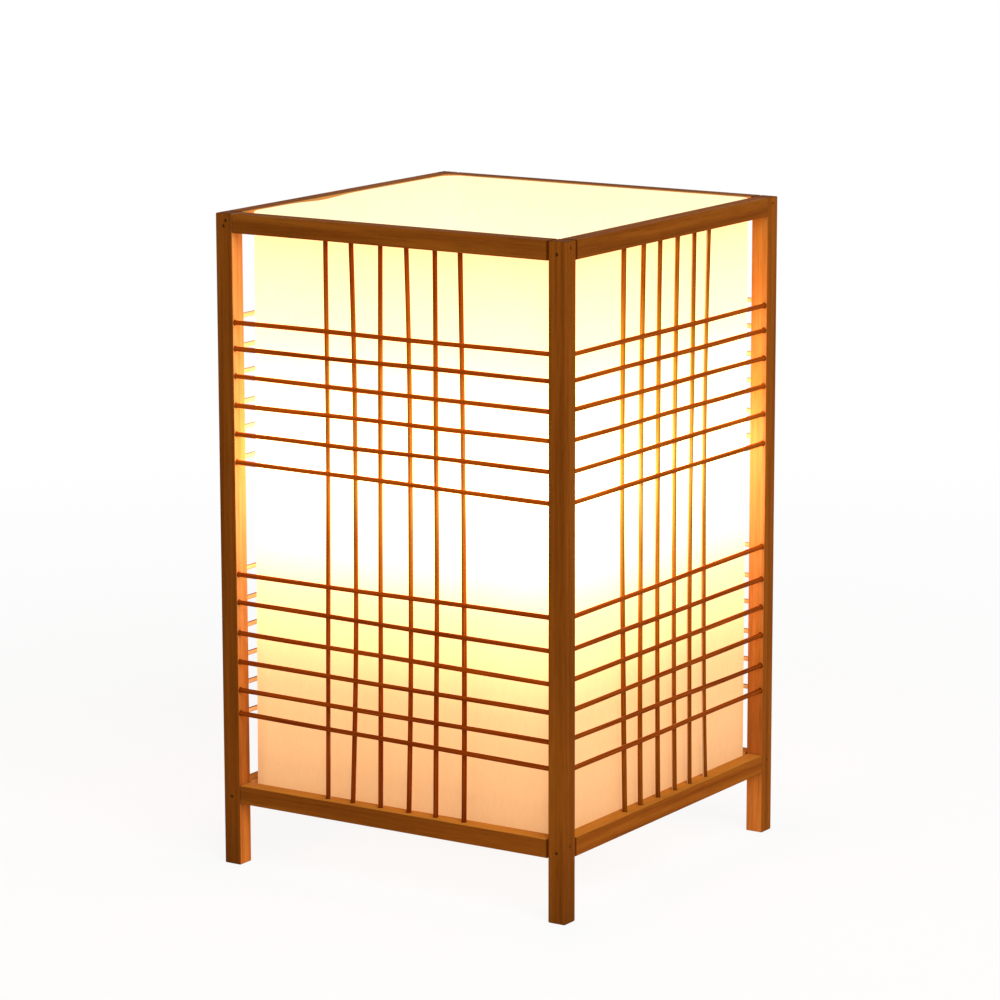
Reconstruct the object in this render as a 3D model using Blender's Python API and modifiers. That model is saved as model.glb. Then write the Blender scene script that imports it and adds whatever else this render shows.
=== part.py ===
"""A square table lamp: a nailed frame of slender posts and rails, a lattice of round sticks on each side,
a sheet wrapped round inside as the shade, and a bulb on a threaded stem.

Metres, +Z up. The origin is on the floor, at the centre of the four posts."""

import math

import bmesh
import bpy
from mathutils import Matrix, Vector

# Frame of posts and rails
FRAME_WIDTH = 0.200
FRAME_HEIGHT = 0.3268
POST_SIDE = 0.0094
RAIL_HEIGHT = 0.0094
RAIL_SETBACK = 0.0006
BOTTOM_RAIL_LIFT = 0.0316
ARRIS = 0.0004

# Sticks of the lattices
STICK_DIAMETER = 0.0025
CROSS_DEPTH = 0.0025
CROSSING_BITE = 0.0003
STICK_TENON = 0.0040
UPRIGHT_COUNT = 6
UPRIGHT_PITCH = 0.0157
CROSS_COUNT = 6
UPPER_CROSS_DROP = 0.0434
UPPER_CROSS_PITCH = 0.0140
LOWER_CROSS_RISE = 0.0334
LOWER_CROSS_PITCH = 0.0146

# Nails of the frame and of the base bar
NAIL_DIAMETER = 0.0014
NAIL_POINT = 0.0020
NAIL_SET = 0.0003
NAIL_BITE = 0.0100
NAIL_STAGGER = 0.0030
BAR_NAIL_BITE = 0.0025
BAR_NAIL_SPACING = 0.0160

# Wrapped sheet of the shade
SHEET_THICKNESS = 0.0007
SHADE_CORNER_RADIUS = 0.0100
SHADE_TOP_DROP = 0.0006
SHADE_FOOT_CLEARANCE = 0.0008
LAP_LENGTH = 0.0060
LAP_JOG = 0.0060

# Base bar and stem
BAR_WIDTH = 0.0300
BAR_THICKNESS = 0.0050
BAR_LAP = 0.0042
STEM_DIAMETER = 0.0100
STEM_BORE = 0.0070
STEM_TAIL = 0.0015
STEM_RISE = 0.0520
NUT_WIDTH = 0.0150
NUT_HEIGHT = 0.0045
WASHER_DIAMETER = 0.0200
WASHER_THICKNESS = 0.0012

# Bushing where the lead enters the stem
BUSHING_BORE = 0.0048
BUSHING_FLANGE = 0.0015
BUSHING_LENGTH = 0.0080

# Lampholder, sized outwards from the bulb's screw cap
HOLDER_WALL = 0.0018
COLLAR_WALL = 0.0028
COLLAR_HEIGHT = 0.0085
HOLDER_SHOULDER_HEIGHT = 0.0070
HOLDER_LEDGE = 0.0022
HOLDER_RIM_HEIGHT = 0.0055
INSERT_WALL = 0.0022
INSERT_FLOOR = 0.0040
SHELL_WALL = 0.0008
SHELL_HEIGHT = 0.0170
SKIRT_OVERLAP = 0.0045
RING_HEIGHT = 0.0016
CONTACT_WIDTH = 0.0050
CONTACT_THICKNESS = 0.0005
CONTACT_REACH = 0.0090
CONTACT_FOOT = 0.0045
CONTACT_TONGUE = 0.0050
CONTACT_RISE = 0.0030

# Bulb
CAP_DIAMETER = 0.0263
CAP_LENGTH = 0.0220
CAP_WALL = 0.0006
CAP_TAPER = 0.0030
CAP_SHOW = 0.0015
THREAD_GAP = 0.00035
INSULATOR_DIAMETER = 0.0170
INSULATOR_HEIGHT = 0.0030
TIP_DIAMETER = 0.0095
TIP_HEIGHT = 0.0015
TIP_PIN_DIAMETER = 0.0040
HOUSING_HEIGHT = 0.0400
HOUSING_SPIGOT = 0.0060
HOUSING_RIM = 0.0025
BULB_DIAMETER = 0.0600
DOME_WALL = 0.0014
DOME_SINK = 0.0080

# Clearances
SEAT_GAP = 0.0003
HOLE_END_GAP = 0.0005
OVERCUT = 0.0010
MERGE = 0.00001

# Facets
STICK_SIDES = 8
HOLE_SIDES = 6
NAIL_SIDES = 6
NUT_SIDES = 6
ROUND_STEPS = 20
STEM_STEPS = 16
CORNER_STEPS = 6
SHOULDER_STEPS = 4
DOME_STEPS = 6
SHARP_ANGLE = math.radians(35)

# Places that follow from the sizes above
HALF_WIDTH = FRAME_WIDTH / 2
POST_CENTRE = HALF_WIDTH - POST_SIDE / 2
RAIL_DEPTH = POST_SIDE - RAIL_SETBACK
RAIL_LENGTH = FRAME_WIDTH - 2 * (POST_SIDE + SEAT_GAP)
RAIL_CENTRES = {"top": FRAME_HEIGHT - RAIL_HEIGHT / 2, "bottom": BOTTOM_RAIL_LIFT + RAIL_HEIGHT / 2}
CLEAR_TOP = FRAME_HEIGHT - RAIL_HEIGHT
CLEAR_FOOT = BOTTOM_RAIL_LIFT + RAIL_HEIGHT
UPRIGHT_DEPTH = CROSS_DEPTH + STICK_DIAMETER - CROSSING_BITE
STICK_HOLE = STICK_DIAMETER + 2 * SEAT_GAP
STICK_HOLE_DEPTH = STICK_TENON + HOLE_END_GAP
NAIL_HOLE = NAIL_DIAMETER + 2 * SEAT_GAP
BAR_BOTTOM = BOTTOM_RAIL_LIFT
BAR_TOP = BAR_BOTTOM + BAR_THICKNESS
SIDES = ("front", "right", "back", "left")
X_AXIS = Vector((1, 0, 0))
Y_AXIS = Vector((0, 1, 0))
Z_AXIS = Vector((0, 0, 1))


def linear(value):
    """The linear value of one display colour channel, 0 to 255."""
    share = value / 255
    return share / 12.92 if share <= 0.04045 else ((share + 0.055) / 1.055) ** 2.4


def make_material(name, colour, roughness, metallic=0.0):
    material = bpy.data.materials.new(name)
    material.use_nodes = True
    shader = material.node_tree.nodes["Principled BSDF"]
    shader.inputs["Base Color"].default_value = (*(linear(value) for value in colour), 1.0)
    shader.inputs["Roughness"].default_value = roughness
    shader.inputs["Metallic"].default_value = metallic
    return material


def make_materials():
    return {
        "wood": make_material("stained_wood", (126, 68, 22), 0.55),
        "stick": make_material("stained_stick", (112, 58, 20), 0.6),
        "bar": make_material("plain_wood", (176, 128, 78), 0.7),
        "sheet": make_material("shade_sheet", (250, 240, 205), 0.6),
        "nail": make_material("dull_steel", (70, 62, 56), 0.5, 0.8),
        "zinc": make_material("zinc_plate", (178, 176, 168), 0.35, 1.0),
        "brass": make_material("brass", (196, 160, 84), 0.35, 1.0),
        "holder": make_material("holder_plastic", (236, 232, 222), 0.45),
        "insert": make_material("insert_ceramic", (228, 222, 208), 0.5),
        "housing": make_material("bulb_plastic", (240, 240, 238), 0.4),
        "dome": make_material("bulb_dome", (252, 246, 228), 0.3),
        "cap": make_material("bulb_cap", (190, 190, 186), 0.3, 1.0),
        "black": make_material("black_plastic", (24, 24, 24), 0.5),
    }


def make_collection(name):
    collection = bpy.data.collections.new(name)
    bpy.context.scene.collection.children.link(collection)
    return collection


def add_part(name, mesh, material):
    part = bpy.data.objects.new(name, mesh)
    mesh.materials.clear()
    mesh.materials.append(material)
    bpy.data.collections["lattice_lamp"].objects.link(part)
    return part


def add_cutter(name, mesh):
    cutter = bpy.data.objects.new(name, mesh)
    cutter.hide_render = True
    cutter.display_type = "WIRE"
    bpy.data.collections["cutters"].objects.link(cutter)
    return cutter


def to_mesh(shape, name):
    mesh = bpy.data.meshes.new(name)
    shape.to_mesh(mesh)
    shape.free()
    return mesh


def box_mesh(name, size, centre=(0, 0, 0)):
    shape = bmesh.new()
    bmesh.ops.create_cube(shape, size=1.0)
    bmesh.ops.scale(shape, vec=size, verts=shape.verts)
    bmesh.ops.translate(shape, vec=centre, verts=shape.verts)
    return to_mesh(shape, name)


def add_prism(shape, start, direction, length, radius, sides):
    """Adds a capped prism that runs from start along a direction."""
    turn = Z_AXIS.rotation_difference(direction).to_matrix().to_4x4()
    place = Matrix.Translation(Vector(start) + direction * (length / 2)) @ turn
    bmesh.ops.create_cone(
        shape, cap_ends=True, segments=sides, radius1=radius, radius2=radius, depth=length, matrix=place
    )


def drill(part, name, holes):
    """Cuts round holes, each a mouth, a direction into the part, a depth and a diameter across the flats."""
    shape = bmesh.new()
    for mouth, direction, depth, diameter in holes:
        radius = diameter / 2 / math.cos(math.pi / HOLE_SIDES)
        start = Vector(mouth) - direction * OVERCUT
        add_prism(shape, start, direction, depth + OVERCUT, radius, HOLE_SIDES)
    cutter = add_cutter(name, to_mesh(shape, name))
    cutter.parent = part
    subtract(part, cutter)


def subtract(part, cutter):
    cut = part.modifiers.new(cutter.name, "BOOLEAN")
    cut.operation = "DIFFERENCE"
    cut.object = cutter


def ease_edges(part):
    bevel = part.modifiers.new("arris", "BEVEL")
    bevel.width = ARRIS
    bevel.segments = 1
    bevel.limit_method = "ANGLE"


def bake(part):
    """Gives a part the mesh that its modifiers make, with its round faces shaded smooth."""
    bpy.context.view_layer.update()
    graph = bpy.context.evaluated_depsgraph_get()
    mesh = bpy.data.meshes.new_from_object(part.evaluated_get(graph))
    mesh.shade_smooth()
    mesh.set_sharp_from_angle(angle=SHARP_ANGLE)
    part.modifiers.clear()
    part.data = mesh
    return part


def add_turned(name, profile, material, steps=ROUND_STEPS):
    """Spins (radius, height) points, listed down the outer side, round Z. Off the axis, they make a ring."""
    shape = bmesh.new()
    points = [shape.verts.new((radius, 0, height)) for radius, height in profile]
    if profile[0][0] > 0:
        points.append(points[0])
    for first, second in zip(points, points[1:]):
        shape.edges.new((first, second))
    part = add_part(name, to_mesh(shape, name), material)
    screw = part.modifiers.new("turn", "SCREW")
    screw.axis = "Z"
    screw.angle = math.tau
    screw.steps = steps
    screw.render_steps = steps
    screw.use_merge_vertices = True
    screw.merge_threshold = MERGE
    return bake(part)


def add_ribbon(name, path, width, thickness, material):
    """Bends a strip along (x, y) points, with its width up Z and its thickness to the right of the path."""
    shape = bmesh.new()
    points = [shape.verts.new((x, y, 0)) for x, y in path]
    edges = [shape.edges.new(pair) for pair in zip(points, points[1:])]
    swept = bmesh.ops.extrude_edge_only(shape, edges=edges)["geom"]
    raised = [item for item in swept if isinstance(item, bmesh.types.BMVert)]
    bmesh.ops.translate(shape, vec=(0, 0, width), verts=raised)
    part = add_part(name, to_mesh(shape, name), material)
    shell = part.modifiers.new("thickness", "SOLIDIFY")
    shell.thickness = thickness
    shell.offset = -1
    shell.use_even_offset = True
    return bake(part)


def arc(centre, radius, start, end, steps):
    """Points round a centre from one angle to another, both ends included."""
    angles = [math.radians(start + (end - start) * step / steps) for step in range(steps + 1)]
    return [(centre[0] + radius * math.cos(angle), centre[1] + radius * math.sin(angle)) for angle in angles]


def upright_places():
    """Places along a side, from its centre, where the upright sticks stand."""
    middle = (UPRIGHT_COUNT - 1) / 2
    return [(index - middle) * UPRIGHT_PITCH for index in range(UPRIGHT_COUNT)]


def cross_heights():
    upper = [CLEAR_TOP - UPPER_CROSS_DROP - index * UPPER_CROSS_PITCH for index in range(CROSS_COUNT)]
    lower = [CLEAR_FOOT + LOWER_CROSS_RISE + index * LOWER_CROSS_PITCH for index in range(CROSS_COUNT)]
    return upper + lower


def nail_height(level, along_x):
    """Nails along X sit high and nails along Y sit low, so that they miss each other inside the post."""
    return RAIL_CENTRES[level] + (NAIL_STAGGER if along_x else -NAIL_STAGGER) / 2


def add_post(corner, side_x, side_y, material):
    """One post, with the holes that its two lattices and its four nails use."""
    size = (POST_SIDE, POST_SIDE, FRAME_HEIGHT)
    post = add_part(f"post_{corner}", box_mesh(f"post_{corner}", size), material)
    post.location = (side_x * POST_CENTRE, side_y * POST_CENTRE, FRAME_HEIGHT / 2)
    ease_edges(post)
    stick_offset = HALF_WIDTH - CROSS_DEPTH - POST_CENTRE
    half = POST_SIDE / 2
    for axis, across, own, other in ((X_AXIS, Y_AXIS, side_x, side_y), (Y_AXIS, X_AXIS, side_y, side_x)):
        along_x = axis is X_AXIS
        holes = []
        for height in cross_heights():
            mouth = -own * half * axis + other * stick_offset * across + (height - FRAME_HEIGHT / 2) * Z_AXIS
            holes.append((mouth, own * axis, STICK_HOLE_DEPTH, STICK_HOLE))
        for level in RAIL_CENTRES:
            mouth = own * half * axis + (nail_height(level, along_x) - FRAME_HEIGHT / 2) * Z_AXIS
            holes.append((mouth, -own * axis, POST_SIDE + OVERCUT, NAIL_HOLE))
        drill(post, f"post_{corner}_drills_{'x' if along_x else 'y'}", holes)
    return post


def add_rail(level, side, turn, material):
    """One rail, made as the front one and turned to its side, with its stick holes and nail holes."""
    name = f"{level}_rail_{side}"
    rail = add_part(name, box_mesh(name, (RAIL_LENGTH, RAIL_DEPTH, RAIL_HEIGHT)), material)
    rail_offset = HALF_WIDTH - RAIL_DEPTH / 2
    spin = Matrix.Rotation(turn * math.pi / 2, 4, "Z")
    rail.matrix_world = spin @ Matrix.Translation((0, -rail_offset, RAIL_CENTRES[level]))
    ease_edges(rail)
    inward = Z_AXIS if level == "top" else -Z_AXIS
    stick_offset = RAIL_DEPTH / 2 - UPRIGHT_DEPTH
    holes = []
    for place in upright_places():
        mouth = Vector((place, -stick_offset, 0)) - inward * RAIL_HEIGHT / 2
        holes.append((mouth, inward, STICK_HOLE_DEPTH, STICK_HOLE))
    nail_offset = RAIL_DEPTH / 2 - POST_SIDE / 2
    nail_rise = nail_height(level, side in ("front", "back")) - RAIL_CENTRES[level]
    for end in (-1, 1):
        mouth = Vector((end * RAIL_LENGTH / 2, -nail_offset, nail_rise))
        holes.append((mouth, -end * X_AXIS, NAIL_BITE + HOLE_END_GAP, NAIL_HOLE))
    drill(rail, f"{name}_drills", holes)
    if level == "bottom" and side in ("left", "right"):
        notch_for_bar(rail)
    return rail


def notch_for_bar(rail):
    """The notch in a side rail's inner lower edge that takes the end of the base bar, and its nail holes."""
    width = BAR_WIDTH + 2 * SEAT_GAP
    depth = BAR_LAP + SEAT_GAP
    height = BAR_THICKNESS + SEAT_GAP
    size = (width, depth + OVERCUT, height + OVERCUT)
    centre = (0, RAIL_DEPTH / 2 - depth / 2 + OVERCUT / 2, -RAIL_HEIGHT / 2 + height / 2 - OVERCUT / 2)
    cutter = add_cutter(f"{rail.name}_notch", box_mesh(f"{rail.name}_notch", size, centre))
    cutter.parent = rail
    subtract(rail, cutter)
    holes = []
    for place in (-BAR_NAIL_SPACING / 2, BAR_NAIL_SPACING / 2):
        mouth = (place, RAIL_DEPTH / 2 - BAR_LAP / 2, -RAIL_HEIGHT / 2 + height)
        holes.append((mouth, Z_AXIS, BAR_NAIL_BITE + HOLE_END_GAP, NAIL_HOLE))
    drill(rail, f"{rail.name}_bar_drills", holes)


def add_nail(name, head, direction, length, material):
    """A headless pin that is driven from head along a direction and set just below the surface."""
    radius = NAIL_DIAMETER / 2
    profile = [(0, 0), (radius, 0), (radius, NAIL_POINT - length), (0, -length)]
    nail = add_turned(name, profile, material, NAIL_SIDES)
    turn = (-Z_AXIS).rotation_difference(direction).to_matrix().to_4x4()
    nail.matrix_world = Matrix.Translation(Vector(head) + direction * NAIL_SET) @ turn
    return nail


def add_frame_nails(corner, side_x, side_y, material):
    length = POST_SIDE + SEAT_GAP + NAIL_BITE - NAIL_SET
    for level in RAIL_CENTRES:
        head_x = (side_x * HALF_WIDTH, side_y * POST_CENTRE, nail_height(level, True))
        add_nail(f"nail_{level}_{corner}_x", head_x, -side_x * X_AXIS, length, material)
        head_y = (side_x * POST_CENTRE, side_y * HALF_WIDTH, nail_height(level, False))
        add_nail(f"nail_{level}_{corner}_y", head_y, -side_y * Y_AXIS, length, material)


def add_frame(materials):
    corners = {"front_left": (-1, -1), "front_right": (1, -1), "back_right": (1, 1), "back_left": (-1, 1)}
    for corner, (side_x, side_y) in corners.items():
        add_post(corner, side_x, side_y, materials["wood"])
        add_frame_nails(corner, side_x, side_y, materials["nail"])
    for level in RAIL_CENTRES:
        for turn, side in enumerate(SIDES):
            add_rail(level, side, turn, materials["wood"])


def add_lattices(material):
    """Six uprights behind twelve cross sticks on each side, let into each other a little where they cross."""
    radius = STICK_DIAMETER / 2
    uprights = bmesh.new()
    foot = CLEAR_FOOT - STICK_TENON
    upright_length = CLEAR_TOP + STICK_TENON - foot
    for place in upright_places():
        start = (place, UPRIGHT_DEPTH - HALF_WIDTH, foot)
        add_prism(uprights, start, Z_AXIS, upright_length, radius, STICK_SIDES)
    crosses = bmesh.new()
    end = HALF_WIDTH - POST_SIDE + STICK_TENON
    for height in cross_heights():
        add_prism(crosses, (-end, CROSS_DEPTH - HALF_WIDTH, height), X_AXIS, 2 * end, radius, STICK_SIDES)
    lattice = add_part("lattice_front", to_mesh(uprights, "uprights"), material)
    cross_sticks = add_cutter("cross_sticks", to_mesh(crosses, "cross_sticks"))
    union = lattice.modifiers.new("cross_sticks", "BOOLEAN")
    union.operation = "UNION"
    union.object = cross_sticks
    bake(lattice)
    bpy.data.objects.remove(cross_sticks)
    for turn, side in enumerate(SIDES):
        if side != "front":
            copy = add_part(f"lattice_{side}", lattice.data, material)
            copy.rotation_euler.z = turn * math.pi / 2


def shade_path():
    """The sheet's outer line, clockwise from above: once round, then on behind its own start, back left."""
    reach = HALF_WIDTH - RAIL_DEPTH - SEAT_GAP
    centre = reach - SHADE_CORNER_RADIUS
    inset = SHEET_THICKNESS + SEAT_GAP
    start = centre - LAP_LENGTH
    path = [(-reach, start)]
    for corner_x, corner_y, angle in ((-1, 1, 180), (1, 1, 90), (1, -1, 0), (-1, -1, -90)):
        corner = (corner_x * centre, corner_y * centre)
        path += arc(corner, SHADE_CORNER_RADIUS, angle, angle - 90, CORNER_STEPS)
    path += [(-reach, start - LAP_JOG - SEAT_GAP), (inset - reach, start - SEAT_GAP)]
    path += arc((-centre, centre), SHADE_CORNER_RADIUS - inset, 180, 90, CORNER_STEPS)
    path.append((LAP_LENGTH - centre, reach - inset))
    return path


def add_shade(material):
    foot = BAR_TOP + SHADE_FOOT_CLEARANCE
    height = FRAME_HEIGHT - SHADE_TOP_DROP - foot
    shade = add_ribbon("shade_sheet", shade_path(), height, SHEET_THICKNESS, material)
    shade.location.z = foot
    return shade


def add_base_bar(materials):
    """The bar that carries the stem, let into the undersides of the two side rails and nailed from below."""
    length = FRAME_WIDTH - 2 * (RAIL_DEPTH - BAR_LAP)
    bar = add_part("base_bar", box_mesh("base_bar", (length, BAR_WIDTH, BAR_THICKNESS)), materials["bar"])
    bar.location.z = BAR_BOTTOM + BAR_THICKNESS / 2
    ease_edges(bar)
    shape = bmesh.new()
    stem_hole = STEM_DIAMETER / 2 + SEAT_GAP
    start = (0, 0, -BAR_THICKNESS / 2 - OVERCUT)
    add_prism(shape, start, Z_AXIS, BAR_THICKNESS + 2 * OVERCUT, stem_hole, STEM_STEPS)
    cutter = add_cutter("base_bar_stem_hole", to_mesh(shape, "base_bar_stem_hole"))
    cutter.parent = bar
    subtract(bar, cutter)
    nail_reach = HALF_WIDTH - RAIL_DEPTH + BAR_LAP / 2
    nail_length = BAR_THICKNESS + SEAT_GAP + BAR_NAIL_BITE - NAIL_SET
    holes = []
    for end, side_x in (("left", -1), ("right", 1)):
        for edge, side_y in (("front", -1), ("back", 1)):
            place = Vector((side_x * nail_reach, side_y * BAR_NAIL_SPACING / 2, -BAR_THICKNESS / 2))
            holes.append((place, Z_AXIS, BAR_THICKNESS + OVERCUT, NAIL_HOLE))
            head = place + bar.location
            add_nail(f"bar_nail_{end}_{edge}", head, Z_AXIS, nail_length, materials["nail"])
    drill(bar, "base_bar_drills", holes)
    return bar


def add_ring(name, bottom, height, inner, outer, material, steps=ROUND_STEPS):
    profile = [(outer, height), (outer, 0), (inner, 0), (inner, height)]
    ring = add_turned(name, profile, material, steps)
    ring.location.z = bottom
    return ring


def add_nut(name, bottom, material):
    """A six-sided nut with a plain bore that clears the stem."""
    shape = bmesh.new()
    corner_radius = NUT_WIDTH / 2 / math.cos(math.pi / NUT_SIDES)
    add_prism(shape, (0, 0, 0), Z_AXIS, NUT_HEIGHT, corner_radius, NUT_SIDES)
    nut = add_part(name, to_mesh(shape, name), material)
    nut.location.z = bottom
    bore = bmesh.new()
    bore_radius = STEM_DIAMETER / 2 + SEAT_GAP
    add_prism(bore, (0, 0, -OVERCUT), Z_AXIS, NUT_HEIGHT + 2 * OVERCUT, bore_radius, STEM_STEPS)
    cutter = add_cutter(f"{name}_bore", to_mesh(bore, f"{name}_bore"))
    cutter.parent = nut
    subtract(nut, cutter)
    return nut


def add_stem(materials):
    """The hollow threaded stem with the washers and nuts that clamp it to the bar, and the lead's bushing."""
    stem_radius = STEM_DIAMETER / 2
    bore_radius = STEM_BORE / 2
    clear = stem_radius + SEAT_GAP
    washer_radius = WASHER_DIAMETER / 2
    lower_washer = BAR_BOTTOM - SEAT_GAP - WASHER_THICKNESS
    lower_nut = lower_washer - SEAT_GAP - NUT_HEIGHT
    upper_washer = BAR_TOP + SEAT_GAP
    upper_nut = upper_washer + WASHER_THICKNESS + SEAT_GAP
    holder_bottom = BAR_TOP + STEM_RISE
    stem_bottom = lower_nut - STEM_TAIL
    stem_height = holder_bottom + COLLAR_HEIGHT - stem_bottom
    zinc = materials["zinc"]
    add_ring("stem_tube", stem_bottom, stem_height, bore_radius, stem_radius, zinc, STEM_STEPS)
    for place, bottom in (("lower", lower_washer), ("upper", upper_washer)):
        add_ring(f"stem_washer_{place}", bottom, WASHER_THICKNESS, clear, washer_radius, zinc, STEM_STEPS)
    add_nut("stem_nut_lower", lower_nut, zinc)
    add_nut("stem_nut_upper", upper_nut, zinc)
    add_nut("holder_lock_nut", holder_bottom - SEAT_GAP - NUT_HEIGHT, zinc)
    sleeve = bore_radius - SEAT_GAP
    profile = [
        (sleeve, BUSHING_LENGTH),
        (sleeve, -SEAT_GAP),
        (stem_radius, -SEAT_GAP),
        (stem_radius, -SEAT_GAP - BUSHING_FLANGE),
        (BUSHING_BORE / 2, -SEAT_GAP - BUSHING_FLANGE),
        (BUSHING_BORE / 2, BUSHING_LENGTH),
    ]
    add_turned("cord_bushing", profile, materials["black"], STEM_STEPS).location.z = stem_bottom
    return holder_bottom


def shoulder(inner, outer, bottom, top):
    """A quarter ellipse from the outer radius at the top in to the inner radius at the bottom."""
    points = arc((0, 0), 1, 0, -90, SHOULDER_STEPS)
    return [(inner + (outer - inner) * x, top + (top - bottom) * y) for x, y in points]


def add_holder(bottom, materials):
    """The lampholder, worked outwards from the bulb's cap. The ring at its mouth keeps the insert down.

    Returns the height where the bulb's tip rests."""
    shell_inner = CAP_DIAMETER / 2 + THREAD_GAP
    shell_outer = shell_inner + SHELL_WALL
    insert_inner = shell_outer + SEAT_GAP
    insert_outer = insert_inner + INSERT_WALL
    base_inner = insert_outer + SEAT_GAP
    base_outer = base_inner + HOLDER_WALL
    skirt_inner = base_outer + SEAT_GAP
    skirt_outer = skirt_inner + HOLDER_WALL
    collar_inner = STEM_DIAMETER / 2 + SEAT_GAP
    collar_outer = collar_inner + COLLAR_WALL
    collar_top = COLLAR_HEIGHT + HOLDER_WALL
    shoulder_top = collar_top + HOLDER_SHOULDER_HEIGHT
    rim_top = shoulder_top + HOLDER_RIM_HEIGHT
    base = shoulder(collar_outer, base_outer, COLLAR_HEIGHT, shoulder_top)
    base = [(base_outer, rim_top), *base, (collar_outer, 0), (collar_inner, 0), (collar_inner, collar_top)]
    base += [(collar_outer, collar_top), (base_inner - HOLDER_LEDGE, shoulder_top)]
    base += [(base_inner, shoulder_top), (base_inner, rim_top)]
    plastic = materials["holder"]
    add_turned("holder_base", base, plastic).location.z = bottom

    insert_bottom = shoulder_top + SEAT_GAP
    floor = insert_bottom + INSERT_FLOOR
    tip_seat = floor + SEAT_GAP + CONTACT_RISE + SEAT_GAP
    cap_top = tip_seat + TIP_HEIGHT + INSULATOR_HEIGHT / 2 + SEAT_GAP + CAP_LENGTH
    skirt_top = cap_top - CAP_SHOW
    ring_bottom = skirt_top - RING_HEIGHT
    insert_top = ring_bottom - SEAT_GAP
    insert = [(insert_outer, insert_top), (insert_outer, insert_bottom), (0, insert_bottom)]
    insert = [(0, floor), (insert_inner, floor), (insert_inner, insert_top), *insert]
    add_turned("holder_insert", insert, materials["insert"]).location.z = bottom
    shell_bottom = insert_top - SHELL_HEIGHT
    add_ring("screw_shell", bottom + shell_bottom, SHELL_HEIGHT, shell_inner, shell_outer, materials["brass"])

    skirt_bottom = rim_top - SKIRT_OVERLAP
    skirt_height = skirt_top - skirt_bottom
    add_ring("holder_skirt", bottom + skirt_bottom, skirt_height, skirt_inner, skirt_outer, plastic)
    ring_outer = skirt_inner - SEAT_GAP
    add_ring("holder_ring", bottom + ring_bottom, RING_HEIGHT, insert_inner, ring_outer, plastic)

    rise = CONTACT_RISE - CONTACT_THICKNESS
    leaf = [(CONTACT_REACH, 0), (CONTACT_REACH - CONTACT_FOOT, 0)]
    leaf += [(CONTACT_TONGUE / 2, rise), (-CONTACT_TONGUE / 2, rise)]
    contact = add_ribbon("centre_contact", leaf, CONTACT_WIDTH, CONTACT_THICKNESS, materials["brass"])
    contact.rotation_euler.x = math.pi / 2
    contact.location = (0, CONTACT_WIDTH / 2, bottom + floor + SEAT_GAP)
    return bottom + tip_seat


def add_bulb(tip_seat, materials):
    """The bulb, from the underside of its tip up, on an empty that stands on the screw axis."""
    cap_radius = CAP_DIAMETER / 2
    insulator_radius = INSULATOR_DIAMETER / 2
    tip_radius = TIP_DIAMETER / 2
    pin_radius = TIP_PIN_DIAMETER / 2
    insulator_bottom = TIP_HEIGHT + SEAT_GAP
    insulator_top = insulator_bottom + INSULATOR_HEIGHT
    cap_bottom = TIP_HEIGHT + INSULATOR_HEIGHT / 2 + SEAT_GAP
    cap_top = cap_bottom + CAP_LENGTH
    tip = [(0, insulator_top), (pin_radius, insulator_top), (pin_radius, TIP_HEIGHT)]
    tip += [(tip_radius, TIP_HEIGHT), (tip_radius, 0), (0, 0)]
    pin_hole = pin_radius + SEAT_GAP
    insulator = [(insulator_radius, insulator_top), (insulator_radius, cap_bottom)]
    insulator += [(tip_radius, insulator_bottom), (pin_hole, insulator_bottom), (pin_hole, insulator_top)]
    cap_inner = cap_radius - CAP_WALL
    cap_mouth = insulator_radius + SEAT_GAP
    cap = [(cap_radius, cap_top), (cap_radius, cap_bottom + CAP_TAPER), (cap_mouth + CAP_WALL, cap_bottom)]
    cap += [(cap_mouth, cap_bottom), (cap_inner, cap_bottom + CAP_TAPER), (cap_inner, cap_top)]

    housing_bottom = cap_top + SEAT_GAP
    housing_top = housing_bottom + HOUSING_HEIGHT
    dome_centre = housing_top + DOME_SINK
    bulb_radius = BULB_DIAMETER / 2
    rim_angle = math.degrees(math.asin((DOME_SINK - SEAT_GAP) / bulb_radius))
    inner_radius = bulb_radius - DOME_WALL
    inner_angle = math.degrees(math.asin((DOME_SINK - SEAT_GAP) / inner_radius))
    dome = arc((0, dome_centre), bulb_radius, 90, -rim_angle, DOME_STEPS)
    dome += arc((0, dome_centre), inner_radius, -inner_angle, 90, DOME_STEPS)
    dome[0] = (0, dome_centre + bulb_radius)
    dome[-1] = (0, dome_centre + inner_radius)
    rim_radius = bulb_radius * math.cos(math.radians(rim_angle))
    plate_radius = inner_radius * math.cos(math.radians(inner_angle)) - SEAT_GAP
    spigot = cap_inner - SEAT_GAP
    housing = [(0, housing_top + HOUSING_RIM), (plate_radius, housing_top + HOUSING_RIM)]
    housing += [(plate_radius, housing_top)]
    housing += shoulder(cap_radius, rim_radius, housing_bottom, housing_top)
    housing += [(spigot, housing_bottom), (spigot, housing_bottom - HOUSING_SPIGOT)]
    housing += [(0, housing_bottom - HOUSING_SPIGOT)]

    axis = bpy.data.objects.new("bulb_axis", None)
    axis.location.z = tip_seat
    bpy.data.collections["lattice_lamp"].objects.link(axis)
    profiles = {
        "bulb_tip": (tip, "brass"),
        "bulb_insulator": (insulator, "black"),
        "bulb_cap": (cap, "cap"),
        "bulb_housing": (housing, "housing"),
        "bulb_dome": (dome, "dome"),
    }
    for name, (profile, finish) in profiles.items():
        add_turned(name, profile, materials[finish]).parent = axis


def main():
    for obj in list(bpy.data.objects):
        bpy.data.objects.remove(obj)
    make_collection("lattice_lamp")
    make_collection("cutters")
    materials = make_materials()
    add_frame(materials)
    add_lattices(materials["stick"])
    add_shade(materials["sheet"])
    add_base_bar(materials)
    holder_bottom = add_stem(materials)
    tip_seat = add_holder(holder_bottom, materials)
    add_bulb(tip_seat, materials)


main()
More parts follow.
